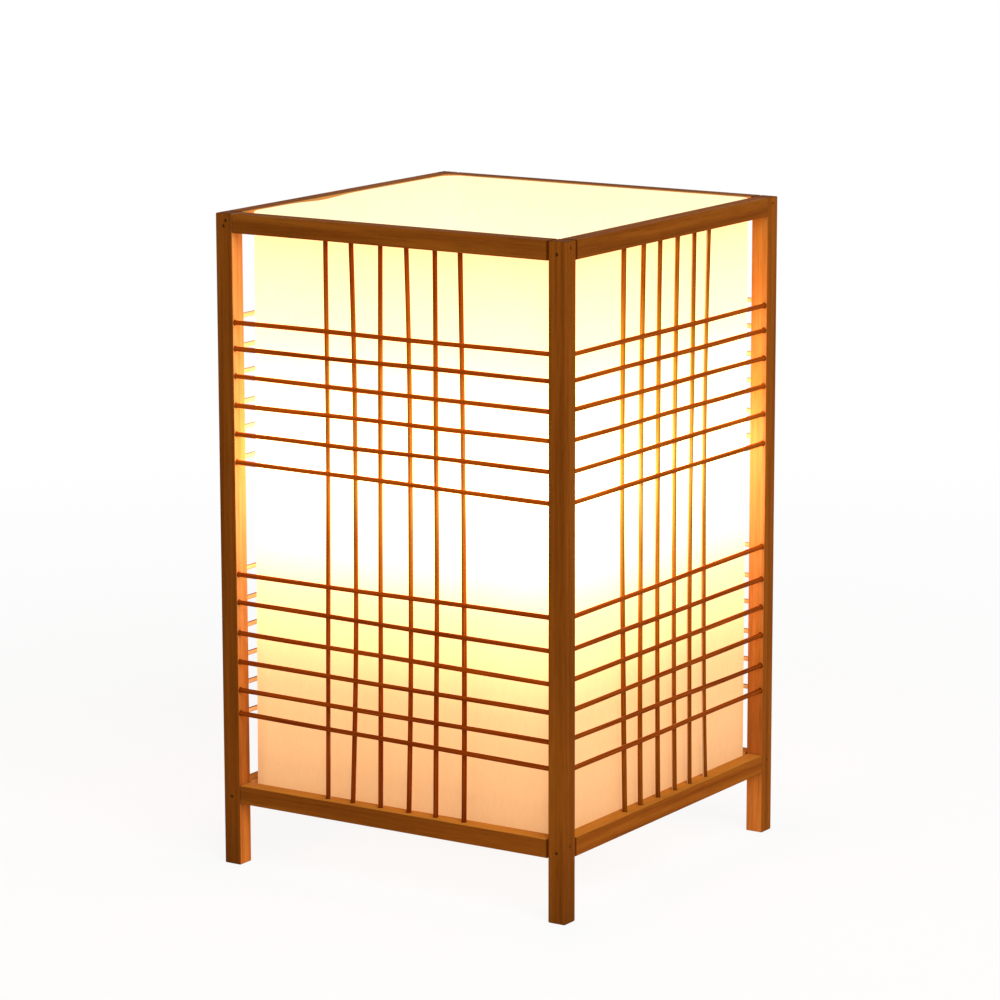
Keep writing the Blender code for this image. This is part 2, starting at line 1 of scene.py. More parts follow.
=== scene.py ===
"""Looks of a lattice table lamp: stained frame, round sticks, a lit wrapped sheet and a screw-in bulb.

Metres, +Z up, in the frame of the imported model."""

import math
import random

import bmesh
import bpy
from mathutils import Matrix, Vector


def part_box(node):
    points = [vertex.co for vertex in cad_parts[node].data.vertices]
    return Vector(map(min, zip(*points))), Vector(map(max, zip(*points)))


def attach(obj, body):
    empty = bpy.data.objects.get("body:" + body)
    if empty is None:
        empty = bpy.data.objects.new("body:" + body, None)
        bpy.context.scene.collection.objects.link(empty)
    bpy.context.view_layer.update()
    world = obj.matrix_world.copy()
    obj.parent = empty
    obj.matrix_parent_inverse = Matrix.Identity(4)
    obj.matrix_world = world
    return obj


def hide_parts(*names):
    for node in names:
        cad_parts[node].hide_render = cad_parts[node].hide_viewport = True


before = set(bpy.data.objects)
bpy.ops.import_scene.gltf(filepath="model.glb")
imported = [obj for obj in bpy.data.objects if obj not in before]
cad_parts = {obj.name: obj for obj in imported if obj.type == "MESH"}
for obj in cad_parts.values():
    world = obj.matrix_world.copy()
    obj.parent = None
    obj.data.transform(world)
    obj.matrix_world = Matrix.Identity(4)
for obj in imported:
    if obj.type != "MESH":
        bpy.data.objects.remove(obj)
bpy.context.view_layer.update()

# Camera of the photograph
VIEW_AZIMUTH = math.radians(32.874)
VIEW_ELEVATION = math.radians(11.323)
VIEW_ROLL = math.radians(-0.117)
VIEW_DISTANCE = 2.0823
VIEW_TARGET = (0, 0, 0.17848)
VIEW_SIDESTEP = -0.00057
FOCAL_LENGTH = 150.3468

# Studio
WORLD_LEVEL = 0.46
STUDIO_LAMPS = {
    "key": {"place": (1.5, -1.0, 1.5), "size": 1.4, "power": 33},
    "fill": {"place": (-1.4, -1.9, 1.0), "size": 1.6, "power": 3},
}
FLOOR_SIZE = 40
FLOOR_SHADE = 0.9
FLOOR_ROUGHNESS = 0.9
FLOOR_GLOW = 0.88
FLOOR_SHADOW_REACH = (0.35, 1.1)

# Clearance between pieces that are put together
SEAT_GAP = 0.0003

# Posts and rails
CORNERS = {"front_left": (-1, -1), "front_right": (1, -1), "back_right": (1, 1), "back_left": (-1, 1)}
SIDES = ("front", "right", "back", "left")
LEVELS = ("top", "bottom")
ARRIS = 0.0006
ARRIS_STEPS = 3
HOLE_STEPS = 16

# Sticks of the lattices
STICK_DIAMETER = 0.0025
STICK_HOLE = 0.0031
STICK_HOLE_DEPTH = 0.0045
STICK_TENON = 0.0040
STICK_WANDER = 0.00016
STICK_WANDER_TURNS = (0.6, 1.6)
STICK_SWELL = 0.035
STICK_SWELL_RATE = 9
STICK_STEPS = 12
STICK_RINGS = 30
CROSS_DEPTH = 0.0020
UPRIGHT_DEPTH = 0.0044
UPRIGHT_COUNT = 6
UPRIGHT_PITCH = 0.0157
CROSS_COUNT = 6
UPPER_CROSS_DROP = 0.0434
UPPER_CROSS_PITCH = 0.0140
LOWER_CROSS_RISE = 0.0334
LOWER_CROSS_PITCH = 0.0146

# How far each stick in view strays from its even place, in millimetres: a cross stick's left and right end,
# upwards, from the top stick down, and an upright's foot, middle and top, to the right. The sticks of the
# other sides stray by chance.
CROSS_STRAY = {
    "front": (
        (-0.6, -0.4), (0.5, 0.9), (1.0, 0.4), (0.5, 0.6), (0.2, 0.0), (0.3, -1.1),
        (0.6, 1.0), (1.2, -0.6), (0.3, -2.0), (0.3, -1.2), (0.5, -1.0), (3.3, 0.7),
    ),
    "right": (
        (-0.9, -1.3), (0.6, 0.1), (0.9, 0.0), (0.5, -0.2), (-0.4, -0.4), (-1.2, -1.3),
        (0.7, 2.2), (-0.3, 0.0), (-0.4, 0.0), (-0.6, 0.1), (0.3, -1.2), (0.1, 0.3),
    ),
}
UPRIGHT_STRAY = {
    "front": (
        (-0.3, 1.2, 1.3), (-1.4, 2.0, 0.3), (-0.6, 0.6, 1.7),
        (0.2, 2.5, 0.7), (0.2, 1.5, 1.3), (0.8, 1.4, -0.2),
    ),
    "right": (
        (1.4, -1.9, -1.5), (0.3, -0.9, 1.1), (1.3, -0.7, 0.7),
        (1.7, -0.5, 1.3), (0.4, -0.4, 1.6), (0.4, -3.1, 0.0),
    ),
}
CHANCE_STRAY = 0.8
LATTICE_SEED = 11

# Pins that hold the frame together
PIN_DIAMETER = 0.0013
PIN_HOLE = 0.0017
PIN_HOLE_DEPTH = 0.0012
PIN_SET = 0.0003
PIN_LENGTH = 0.00075
PIN_BEVEL = 0.00015
PIN_BEVEL_STEPS = 2
PIN_STAGGER = 0.0030
PIN_STEPS = 12
SECOND_PIN_CORNER = "front_left"
SECOND_PIN_SHIFT = (0.0013, 0, 0.0027)

# Wrapped sheet
SHEET_THICKNESS = 0.0007
SHEET_CORNER_RADIUS = 0.0100
SHEET_TIGHT_RADIUS = 0.0085
SHEET_SLACK_RADII = (0.0120, 0.0170)
SHEET_DIP_SIDE = 0.085
SHEET_DIP_MIDDLE = -0.022
SHEET_DIP_WIDTH = 0.016
SHEET_DIP_DEPTH = 0.0010
SHEET_DIP_FADE = 4
SHEET_CORNER_STEPS = 16
SHEET_FLAT_STEPS = 18
SHEET_ROWS = 40
SHEET_LAP = 0.0060
SHEET_JOG = 0.0060
SHEET_DRAW = 0.0006
SHEET_DRAW_WAVE = 0.3
SHEET_DRAW_RATES = (7, 5)
SHEET_SHARP_ANGLE = 40

# Base bar, stem and lampholder
BAR_HOLE = 0.0106
STEM_PITCH = 0.0010
STEM_THREAD = 0.0004
STEM_THREAD_ROWS = 6
STEM_BORE = 0.0070
STEM_STEPS = 32
WASHER_ROUNDING = 0.0003
NUT_CHAMFER = 0.0007
NUT_CHAMFER_STEPS = 4
NUT_CHAMFER_SLOPE = 1.7
NUT_FACE_SHARE = 0.97
NUT_STEPS = 72
BUSHING_BORE = 0.0048
BUSHING_FLANGE = 0.0015
BUSHING_ROUNDING = 0.0004
COLLAR_WALL = 0.0028
COLLAR_HEIGHT = 0.0085
SHOULDER_HEIGHT = 0.0173
SHOULDER_STEPS = 10
HOLDER_WALL = 0.0018
HOLDER_LEDGE = 0.0022
HOLDER_ROUNDING = 0.0003
HOLDER_ROUNDING_STEPS = 2
GRIP_MARGIN = 0.0030
GRIP_ROW = 0.0008
GRIP_ROUNDING = 0.0005
GRIP_RIB_EDGE = 0.0001
MOUTH_ROUNDING = 0.0004
HOLDER_RIBS = 40
HOLDER_RIB_DEPTH = 0.0004
HOLDER_RIB_STEPS = 4

# Bulb
CAP_PITCH = 0.00362
CAP_THREAD = 0.0009
CAP_THREAD_ROWS = 10
CAP_WALL = 0.0006
CAP_TAPER = 0.0030
CAP_RIM = 0.0030
BUTTON_HOLE = 0.0046
BUTTON_FOOT = 0.0096
BUTTON_ROUNDING = 0.0006
TIP_PIN = 0.0040
TIP_HEIGHT = 0.0015
TIP_SHOULDER = 0.0012
TIP_NOSE = 0.0003
TIP_NOSE_SHARE = 0.8
TIP_ROUNDING = 0.0004
DOME_WALL = 0.0014
DOME_POLE_ANGLE = 87
DOME_STEPS = 30
HOUSING_STEPS = 28
HOUSING_RIBS = 24
HOUSING_RIB_DEPTH = 0.0007
HOUSING_RIB_FOOT = 0.0020
HOUSING_RIB_HEAD = 0.0040
HOUSING_RIB_STEPS = 6

# Turned pieces
ROUND_STEPS = 64
ROUNDING_STEPS = 3
ROUNDING_SHARE = 0.45
TURNED_SHARP_ANGLE = 35

# Colours: display values up to 255, or linear values and factors, in lists by their share of the height
WOOD_TONES = ((114, 58, 11), (132, 71, 16), (146, 83, 22))
# Painted lamp glow on the wood's sides that face the lamp
WOOD_LAMP_GLOW = (196, 142, 80)
STICK_DARK = (118, 44, 2)
STICK_LIGHT = (170, 84, 14)
# Painted lamp glow on the sticks' sides that face the lamp
STICK_LAMP_GLOW = (238, 210, 172)
# Painted light on the sticks by height: paler level with the glow, darker near the foot
STICK_GLOW_LEVELS = {
    "cross": (
        (0.00, (0.74, 0.74, 0.55)), (0.15, (0.78, 0.78, 0.62)), (0.30, (0.89, 0.91, 0.80)),
        (0.42, (0.96, 0.95, 0.88)), (0.58, (1.14, 1.36, 1.60)), (0.65, (1.15, 1.32, 1.50)),
        (0.80, (1.02, 1.05, 1.00)), (1.00, (0.95, 1.00, 1.00)),
    ),
    "upright": (
        (0.00, (0.72, 0.70, 0.50)), (0.22, (1.02, 0.95, 0.62)), (0.33, (1.30, 1.50, 1.40)),
        (0.40, (1.50, 2.40, 4.20)), (0.46, (1.40, 2.60, 6.50)), (0.53, (1.62, 3.80, 14.0)),
        (0.60, (1.66, 4.40, 18.5)), (0.70, (1.55, 3.60, 10.0)), (0.80, (1.46, 2.70, 4.40)),
        (0.90, (1.02, 1.10, 1.15)), (1.00, (0.95, 1.00, 1.00)),
    ),
}
# Painted light and shade for each side's sticks: front and right are painted as lit as their side, back and
# left stay near plain
HIDDEN_TONES = {"back": (1.00, 1.00, 1.00), "left": (0.94, 0.94, 0.94)}
STICK_SIDE_LIGHT = {
    "cross": {"front": (0.99, 0.80, 0.40), "right": (1.02, 0.98, 0.46), **HIDDEN_TONES},
    "upright": {"front": (0.88, 0.71, 0.66), "right": (0.95, 1.28, 1.55), **HIDDEN_TONES},
}
STICK_SPECULAR = 0.02
# Painted highlight from the glow on the upward faces of the bottom rails
RAIL_LEDGE_GLOW = (188, 122, 44)
WOOD_SPECULAR = 0.01
# Each board's factor on its stain: partly a tone of its own, partly painted light and shade
BOARD_TONES_AND_LIGHT = {
    "post_front_left": 0.84, "post_front_right": 0.92, "post_back_right": 1.18, "post_back_left": 1.06,
    "top_rail_front": 0.95, "top_rail_right": 1.00, "top_rail_back": 0.93, "top_rail_left": 1.05,
    "bottom_rail_front": 0.90, "bottom_rail_right": 1.34, "bottom_rail_back": 1.08, "bottom_rail_left": 0.96,
}
# Painted light and shade at the foot of each post, fading out by the height below
FOOT_PAINTED_LIGHT = {
    "post_front_left": 0.80, "post_front_right": 0.79, "post_back_right": 1.15, "post_back_left": 0.90,
}
FOOT_PAINTED_LIGHT_TOP = 0.05
# Painted lamp glow on the posts' inner sides by share of height: near the foot, higher up for two posts, and
# for the rest
POST_GLOW_FOOT = ((0.06, (206, 122, 52)), (0.17, (168, 99, 39)), (0.30, (191, 120, 53)))
POST_GLOW_UPPER = {
    "post_front_left": (
        (0.42, (196, 145, 86)), (0.55, (196, 149, 98)), (0.76, (196, 160, 104)), (0.84, (196, 152, 92)),
        (0.90, WOOD_LAMP_GLOW),
    ),
    "post_back_right": (
        (0.46, (196, 142, 82)), (0.63, (196, 138, 88)), (0.71, (188, 130, 70)), (0.81, (194, 138, 76)),
        (0.87, (172, 118, 54)), (1.00, (164, 112, 46)),
    ),
}
POST_GLOW_PLAIN = ((0.49, WOOD_LAMP_GLOW),)
BAR_TONES = ((150, 104, 58), (196, 152, 98), (196, 152, 98))
BAR_SPECULAR = 0.2
SHEET_COLOUR = (160, 128, 88)
SHEET_SPECULAR = 0.2
EDGE_STAIN = (0.66, 0.58, 0.50, 1)
# Darker within about a millimetre of each rail's ends, where they meet the posts
JOINT_DARKENING = (0.40, 0.30, 0.22, 1)
END_STAIN = (0.70, 0.64, 0.58, 1)
GLOW_HUE = (0.98, 0.474, 0.200)
GLOW_STRENGTH = 10.0
GLOW_LEVELS = (
    (0.00, 0.063), (0.055, 0.068), (0.20, 0.119), (0.36, 0.266), (0.46, 0.58), (0.58, 1.00), (0.70, 0.58),
    (0.80, 0.387), (1.00, 0.182),
)
# Painted glow on the sheet's inner side, standing in for the bulb's light on it
INNER_GLOW_LEVELS = (
    (0.00, (0.75, 0.42, 0.17)), (0.20, (0.90, 0.60, 0.27)), (0.36, (0.95, 0.85, 0.42)),
    (0.58, (1.00, 1.00, 0.95)), (0.85, (0.92, 0.92, 0.70)), (1.00, (0.85, 0.85, 0.56)),
)
BULB_GLOW = ((1.0, 0.80, 0.52), (1.0, 0.86, 0.60))
BULB_STRENGTH = 0.75

# Grains per metre, along and across the grain or for each axis, and the shades that they give
WOOD_BANDS = (7, 330)
WOOD_PORES = (60, 2300)
WOOD_BLOTCHES = (9, 26)
BAND_SHADES = ((0.30, (0.78, 0.70, 0.60, 1)), (0.62, (1.08, 1.08, 1.08, 1)))
PORE_SHADES = ((0.34, (0.68, 0.64, 0.60, 1)), (0.50, (1, 1, 1, 1)))
PORE_SHARE = 0.6
BLOTCH_SHADES = ((0.30, (0.86, 0.84, 0.82, 1)), (0.70, (1.08, 1.07, 1.05, 1)))
STICK_FIBRES = (26, 2600)
STICK_BLOTCHES = (3, 48)
STICK_SHADES = ((0.32, (0.80, 0.76, 0.72, 1)), (0.68, (1.10, 1.08, 1.05, 1)))
SHEET_FIBRES = (420, 420, 160)
SHEET_CLOUDS = (30, 30, 24)
FIBRE_SHADES = ((0.35, (0.965, 0.960, 0.950, 1)), (0.65, (1, 1, 1, 1)))
CLOUD_SHADES = ((0.30, (0.97, 0.97, 0.96, 1)), (0.70, (1, 1, 1, 1)))
METAL = {"detail": 3.0, "stains": 90, "dark_share": 0.82, "strength": 0.15}
PLASTIC = {"detail": 2.0, "stains": 60, "dark_share": 0.95, "strength": 0.08}
PLASTIC_TEXTURE = (1500, 1500, 1500)
PLASTIC_GLOSS_RANGE = 0.06
PLASTIC_SPECULAR = 0.4

# Masks: where each starts and where it is full, as a cosine or as metres from the end of a rail
LAMP_FACING = (0.15, 0.6)
LEVEL_FACING = (0.4, 0.9)
EDGE_FACING = (0.80, 0.98)
EDGE_RADIUS = 0.00078
JOINT_REACH = (0.0011, 0.0005)


def linear(value):
    """The linear value of one display colour channel, 0 to 255."""
    share = value / 255
    return share / 12.92 if share <= 0.04045 else ((share + 0.055) / 1.055) ** 2.4


def colour(display):
    return (*(linear(value) for value in display), 1.0)


# Materials

def new_material(name):
    material = bpy.data.materials.new(name)
    material.use_nodes = True
    tree = material.node_tree
    return material, tree, tree.nodes["Principled BSDF"]


def set_inputs(tree, node, inputs):
    """Sets inputs of a node, each to an output of another node or to a fixed value."""
    for name, value in inputs.items():
        if isinstance(value, bpy.types.NodeSocket):
            tree.links.new(value, node.inputs[name])
        else:
            node.inputs[name].default_value = value


def add_node(tree, kind, inputs, **settings):
    """The outputs of a new shader node."""
    node = tree.nodes.new(f"ShaderNode{kind}")
    for name, value in settings.items():
        setattr(node, name, value)
    set_inputs(tree, node, inputs)
    return node.outputs


def noise(tree, scale, detail, distortion=0.0):
    """Noise whose grains per metre are given for each axis."""
    place = add_node(tree, "TexCoord", {})["Object"]
    place = add_node(tree, "Mapping", {"Vector": place, "Scale": scale})["Vector"]
    inputs = {"Vector": place, "Scale": 1.0, "Detail": detail, "Distortion": distortion}
    return add_node(tree, "TexNoise", inputs)["Fac"]


def ramp(tree, value, stops):
    """A colour for each value, from (place, colour) stops."""
    node = tree.nodes.new("ShaderNodeValToRGB")
    elements = node.color_ramp.elements
    while len(elements) < len(stops):
        elements.new(0.5)
    for element, (place, tint) in zip(elements, stops):
        element.position = place
        element.color = tint
    tree.links.new(value, node.inputs["Fac"])
    return node.outputs["Color"]


def spread(tree, value, low, high, start=0.3, end=0.7):
    """A value taken from the range start to end and spread over the range low to high."""
    inputs = {"Value": value, "From Min": start, "From Max": end, "To Min": low, "To Max": high}
    return add_node(tree, "MapRange", inputs)["Result"]


def blend(tree, kind, share, first, second):
    """Two colours mixed. Inputs 0, 6 and 7 of the node are the share and colours, output 2 is the mix."""
    inputs = {0: share, 6: first, 7: second}
    return add_node(tree, "Mix", inputs, data_type="RGBA", blend_type=kind)[2]


def multiply(tree, first, second):
    return blend(tree, "MULTIPLY", 1.0, first, second)


def calculate(tree, kind, operation, *values):
    """The outputs of a Math or VectorMath node."""
    return add_node(tree, kind, dict(enumerate(values)), operation=operation)


def edge_mask(tree):
    """Near 1 along the arrises and 0 on the flats."""
    bevel = add_node(tree, "Bevel", {"Radius": EDGE_RADIUS})["Normal"]
    surface = add_node(tree, "NewGeometry", {})["Normal"]
    dot = calculate(tree, "VectorMath", "DOT_PRODUCT", bevel, surface)["Value"]
    return spread(tree, dot, 1.0, 0.0, *EDGE_FACING)


def relief(tree, height, strength, distance):
    """The normals of a surface that a height makes uneven."""
    inputs = {"Height": height, "Strength": strength, "Distance": distance}
    return add_node(tree, "Bump", inputs)["Normal"]


def facing_lamp(tree):
    """1 on the sides that face the lamp's upright axis and 0 on the outer sides, where the painted lamp glow
    goes.
    """
    place = add_node(tree, "TexCoord", {})
    flat = calculate(tree, "VectorMath", "MULTIPLY", place["Object"], (-1, -1, 0))["Vector"]
    inward = calculate(tree, "VectorMath", "NORMALIZE", flat)["Vector"]
    dot = calculate(tree, "VectorMath", "DOT_PRODUCT", inward, place["Normal"])["Value"]
    return spread(tree, dot, 0.0, 1.0, *LAMP_FACING)


def coordinate(tree, kind, axis):
    """One axis, 0 to 2, of the place on the object, Object, or of the way that a face looks, Normal."""
    place = add_node(tree, "TexCoord", {})[kind]
    return add_node(tree, "SeparateXYZ", {"Vector": place})[axis]


def share_along(tree, axis, start, end):
    """0 up to one place along an axis, 0 to 2, and 1 from another."""
    return spread(tree, coordinate(tree, "Object", axis), 0.0, 1.0, start, end)


def sheet_height(tree):
    """0 at the sheet's foot and 1 at its top."""
    low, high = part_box("shade_sheet")
    return share_along(tree, 2, low.z, high.z)


def near_end(tree, axis, end):
    """1 at one end of a rail and 0 along it."""
    way = math.copysign(1, end)
    start, full = (end - way * reach for reach in JOINT_REACH)
    return share_along(tree, axis, start, full)


def facing_up(tree, or_down=False):
    """1 on the faces that look up, or also on those that look down, and 0 on the rest."""
    rise = coordinate(tree, "Normal", 2)
    if or_down:
        rise = calculate(tree, "Math", "ABSOLUTE", rise)["Value"]
    return spread(tree, rise, 0.0, 1.0, *LEVEL_FACING)


def grey(level):
    return (level, level, level, 1)


def along(axis, lengthwise, crosswise):
    """Grains per metre that are long along one axis, 0 to 2."""
    scale = [crosswise] * 3
    scale[axis] = lengthwise
    return scale


def post_stain_and_foot_light(tree, tint, post):
    """A post's stain, darker on its ends, with painted light and shade at the foot."""
    tint = blend(tree, "MULTIPLY", facing_up(tree, or_down=True), tint, END_STAIN)
    # Painted light and shade at the foot
    rise = share_along(tree, 2, 0.0, FOOT_PAINTED_LIGHT_TOP)
    return multiply(tree, tint, ramp(tree, rise, ((0.0, grey(FOOT_PAINTED_LIGHT[post])), (1.0, grey(1.0)))))


def post_glow_colour(tree, post):
    """The painted lamp glow on a post's inner sides, by height."""
    rise = share_along(tree, 2, 0.0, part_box(post)[1].z)
    stops = POST_GLOW_FOOT + POST_GLOW_UPPER.get(post, POST_GLOW_PLAIN)
    return ramp(tree, rise, [(spot, colour(display)) for spot, display in stops])


def wood_material(name, axis, tones, inner, specular, tone=1.0, joint=None, post=None, lit_ledge=False):
    """Straight-grained wood with growth bands, pores and blotches of stain, darker at arrises and joints,
    with a painted lamp glow.
    """
    dark, middle, light = (colour(display) for display in tones)
    material, tree, shader = new_material(name)
    bands = noise(tree, along(axis, *WOOD_BANDS), detail=4.0, distortion=0.35)
    pores = noise(tree, along(axis, *WOOD_PORES), detail=2.0)
    blotches = noise(tree, along(axis, *WOOD_BLOTCHES), detail=2.0)
    tint = ramp(tree, bands, ((0.30, dark), (0.52, middle), (0.74, light)))
    # The board's factor: partly its tone, partly painted light and shade
    tint = multiply(tree, tint, grey(tone))
    if post:
        tint = post_stain_and_foot_light(tree, tint, post)
    # Painted lamp glow on the sides that face the lamp
    lit = post_glow_colour(tree, post) if post else colour(inner)
    lit = multiply(tree, ramp(tree, bands, BAND_SHADES), lit)
    tint = blend(tree, "MIX", facing_lamp(tree), tint, lit)
    # Painted highlight from the glow on the faces that look up
    if lit_ledge:
        tint = blend(tree, "MIX", facing_up(tree), tint, colour(RAIL_LEDGE_GLOW))
    tint = blend(tree, "MULTIPLY", PORE_SHARE, tint, ramp(tree, pores, PORE_SHADES))
    tint = multiply(tree, tint, ramp(tree, blotches, BLOTCH_SHADES))
    tint = blend(tree, "MULTIPLY", edge_mask(tree), tint, EDGE_STAIN)
    # Darker near the rail's ends
    if joint:
        tint = blend(tree, "MULTIPLY", near_end(tree, axis, joint), tint, JOINT_DARKENING)
    set_inputs(tree, shader, {
        "Base Color": tint,
        "Roughness": spread(tree, pores, 0.66, 0.48),
        "Specular IOR Level": specular,
        "Normal": relief(tree, pores, strength=0.25, distance=0.00012),
    })
    return material


def stick_material(side, axis):
    """Round stained sticks with fibres along them, with painted light: palest level with the glow, and
    glowing on the sides that face the lamp.
    """
    kind = "upright" if axis == 2 else "cross"
    material, tree, shader = new_material(f"stained_{kind}_{side}")
    fibres = noise(tree, along(axis, *STICK_FIBRES), detail=3.0)
    blotches = noise(tree, along(axis, *STICK_BLOTCHES), detail=1.0)
    tint = ramp(tree, fibres, ((0.30, colour(STICK_DARK)), (0.70, colour(STICK_LIGHT))))
    # Each side's factor, with painted light and shade on the front and right
    tint = multiply(tree, tint, (*STICK_SIDE_LIGHT[kind][side], 1))
    # Painted light by height, palest level with the glow
    stick_glow = [(spot, (*level, 1)) for spot, level in STICK_GLOW_LEVELS[kind]]
    tint = multiply(tree, tint, ramp(tree, sheet_height(tree), stick_glow))
    # Painted lamp glow on the sides that face the lamp
    tint = blend(tree, "MIX", facing_lamp(tree), tint, colour(STICK_LAMP_GLOW))
    set_inputs(tree, shader, {
        "Base Color": multiply(tree, tint, ramp(tree, blotches, STICK_SHADES)),
        "Roughness": spread(tree, fibres, 0.60, 0.42),
        "Specular IOR Level": STICK_SPECULAR,
        "Normal": relief(tree, fibres, strength=0.3, distance=0.0001),
    })
    return material


def sheet_material():
    """The lit sheet with a faint fibre, brightest level with the bulb, its inner side painted with glow for
    the bulb's light on it.
    """
    material, tree, shader = new_material("lit_sheet")
    height = sheet_height(tree)
    fibres = noise(tree, SHEET_FIBRES, detail=6.0, distortion=1.2)
    clouds = noise(tree, SHEET_CLOUDS, detail=2.0)
    texture = multiply(tree, ramp(tree, fibres, FIBRE_SHADES), ramp(tree, clouds, CLOUD_SHADES))
    outside = ramp(tree, height, [(spot, grey(share)) for spot, share in GLOW_LEVELS])
    outside = multiply(tree, outside, (*GLOW_HUE, 1))
    # Painted glow inside the sheet, standing in for the bulb's light on it
    stops = [(spot, (*(value / GLOW_STRENGTH for value in level), 1)) for spot, level in INNER_GLOW_LEVELS]
    glow = blend(tree, "MIX", facing_lamp(tree), outside, ramp(tree, height, stops))
    set_inputs(tree, shader, {
        "Base Color": multiply(tree, texture, colour(SHEET_COLOUR)),
        "Roughness": spread(tree, fibres, 0.70, 0.52),
        "Specular IOR Level": SHEET_SPECULAR,
        "Normal": relief(tree, fibres, strength=0.12, distance=0.0001),
        "Emission Color": multiply(tree, glow, texture),
        "Emission Strength": GLOW_STRENGTH,
    })
    return material


def smooth_material(name, display, scale, low, high, detail, stains, dark_share, strength):
    """A material with marks in its gloss and relief, with its nodes, its shader and its uneven tone."""
    material, tree, shader = new_material(name)
    marks = noise(tree, scale, detail)
    tone = noise(tree, (stains, stains, stains), detail=2.0)
    dark = colour([channel * dark_share for channel in display])
    set_inputs(tree, shader, {
        "Base Color": ramp(tree, tone, ((0.30, dark), (0.70, colour(display)))),
        "Roughness": spread(tree, marks, low, high),
        "Normal": relief(tree, marks, strength, distance=0.00005),
    })
    return material, tree, shader, tone


def metal_material(name, display, scale, low, high):
    material, tree, shader, _ = smooth_material(name, display, scale, low, high, **METAL)
    set_inputs(tree, shader, {"Metallic": 1.0})
    return material


def plastic_material(name, display, roughness, glow=None):
    """Moulded plastic, ceramic or glass, which may glow in two colours."""
    gloss = (roughness - PLASTIC_GLOSS_RANGE, roughness + PLASTIC_GLOSS_RANGE)
    material, tree, shader, tone = smooth_material(name, display, PLASTIC_TEXTURE, *gloss, **PLASTIC)
    set_inputs(tree, shader, {"Specular IOR Level": PLASTIC_SPECULAR})
    if glow:
        light = ramp(tree, tone, ((0.30, (*glow[0], 1)), (0.70, (*glow[1], 1))))
        set_inputs(tree, shader, {"Emission Color": light, "Emission Strength": BULB_STRENGTH})
    return material


def board_material(node, axis):
    """The stain of one post or rail, times a factor that is partly its own tone and partly painted light and
    shade.
    """
    stain_and_glow = (WOOD_TONES, WOOD_LAMP_GLOW, WOOD_SPECULAR)
    rail_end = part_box("top_rail_front")[1].x
    joint = (rail_end, -rail_end, None)[axis]
    lit_ledge = node.startswith("bottom")
    post = node if axis == 2 else None
    return wood_material(f"stained_{node}", axis, *stain_and_glow, BOARD_TONES_AND_LIGHT[node], joint, post, lit_ledge)


def make_materials():
    return {
        "bar": wood_material("plain_wood", 0, BAR_TONES, BAR_TONES[-1], BAR_SPECULAR),
        "sheet": sheet_material(),
        "pin": metal_material("brown_steel", (84, 42, 18), (900, 900, 900), 0.5, 0.7),
        "zinc": metal_material("zinc_plate", (188, 186, 178), (400, 400, 1600), 0.28, 0.45),
        "brass": metal_material("pressed_brass", (204, 168, 92), (300, 300, 1800), 0.25, 0.42),
        "cap": metal_material("rolled_aluminium", (196, 196, 192), (300, 300, 1800), 0.24, 0.40),
        "holder": plastic_material("holder_plastic", (234, 230, 220), 0.42),
        "insert": plastic_material("holder_ceramic", (226, 220, 206), 0.55),
        "housing": plastic_material("bulb_plastic", (238, 237, 233), 0.38),
        "dome": plastic_material("frosted_dome", (204, 196, 178), 0.45, BULB_GLOW),
        "black": plastic_material("black_plastic", (22, 22, 23), 0.45),
    }


# Meshes

def make_mesh(shape, name):
    mesh = bpy.data.meshes.new(name)
    shape.to_mesh(mesh)
    shape.free()
    return mesh


def finish_mesh(shape, name, sharp=30):
    bmesh.ops.recalc_face_normals(shape, faces=shape.faces)
    mesh = make_mesh(shape, name)
    mesh.shade_smooth()
    mesh.set_sharp_from_angle(angle=math.radians(sharp))
    return mesh


def add_object(name, data):
    item = bpy.data.objects.new(name, data)
    bpy.context.scene.collection.objects.link(item)
    return item


def add_piece(name, mesh, material, body, slot, *nodes):
    """A new piece of the scene that rides on a body and stands for the given nodes."""
    mesh.materials.append(material)
    piece = add_object(name, mesh)
    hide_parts(*nodes)
    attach(piece, body)
    return piece


def bake(piece):
    """Gives a piece the mesh that its modifiers make."""
    bpy.context.view_layer.update()
    graph = bpy.context.evaluated_depsgraph_get()
    mesh = bpy.data.meshes.new_from_object(piece.evaluated_get(graph))
    piece.modifiers.clear()
    piece.data = mesh


def add_prism(shape, start, direction, length, radius, steps):
    turn = Vector((0, 0, 1)).rotation_difference(direction).to_matrix().to_4x4()
    place = Matrix.Translation(start + direction * (length / 2)) @ turn
    bmesh.ops.create_cone(
        shape, cap_ends=True, segments=steps, radius1=radius, radius2=radius, depth=length, matrix=place
    )


def add_box(shape, low, high):
    place = Matrix.Translation((low + high) / 2) @ Matrix.Diagonal((*(high - low), 1))
    bmesh.ops.create_cube(shape, size=1.0, matrix=place)


def ease_edges(shape, offset, steps):
    bmesh.ops.bevel(shape, geom=shape.edges, offset=offset, segments=steps, profile=0.5, affect="EDGES")


def add_faces(shape, rows):
    """Faces between each row of vertices and the next, with three corners where two are one."""
    for first, second in zip(rows, rows[1:]):
        for index in range(len(first) - 1):
            corners = (first[index], first[index + 1], second[index + 1], second[index])
            corners = tuple(dict.fromkeys(corners))
            if len(corners) > 2:
                shape.faces.new(corners)


def cut_away(board, shape):
    """Takes a closed shape out of a board."""
    cutter = add_object("cutter", finish_mesh(shape, "cutter"))
    cut = board.modifiers.new("cut", "BOOLEAN")
    cut.object = cutter
    bake(board)
    bpy.data.objects.remove(cutter)


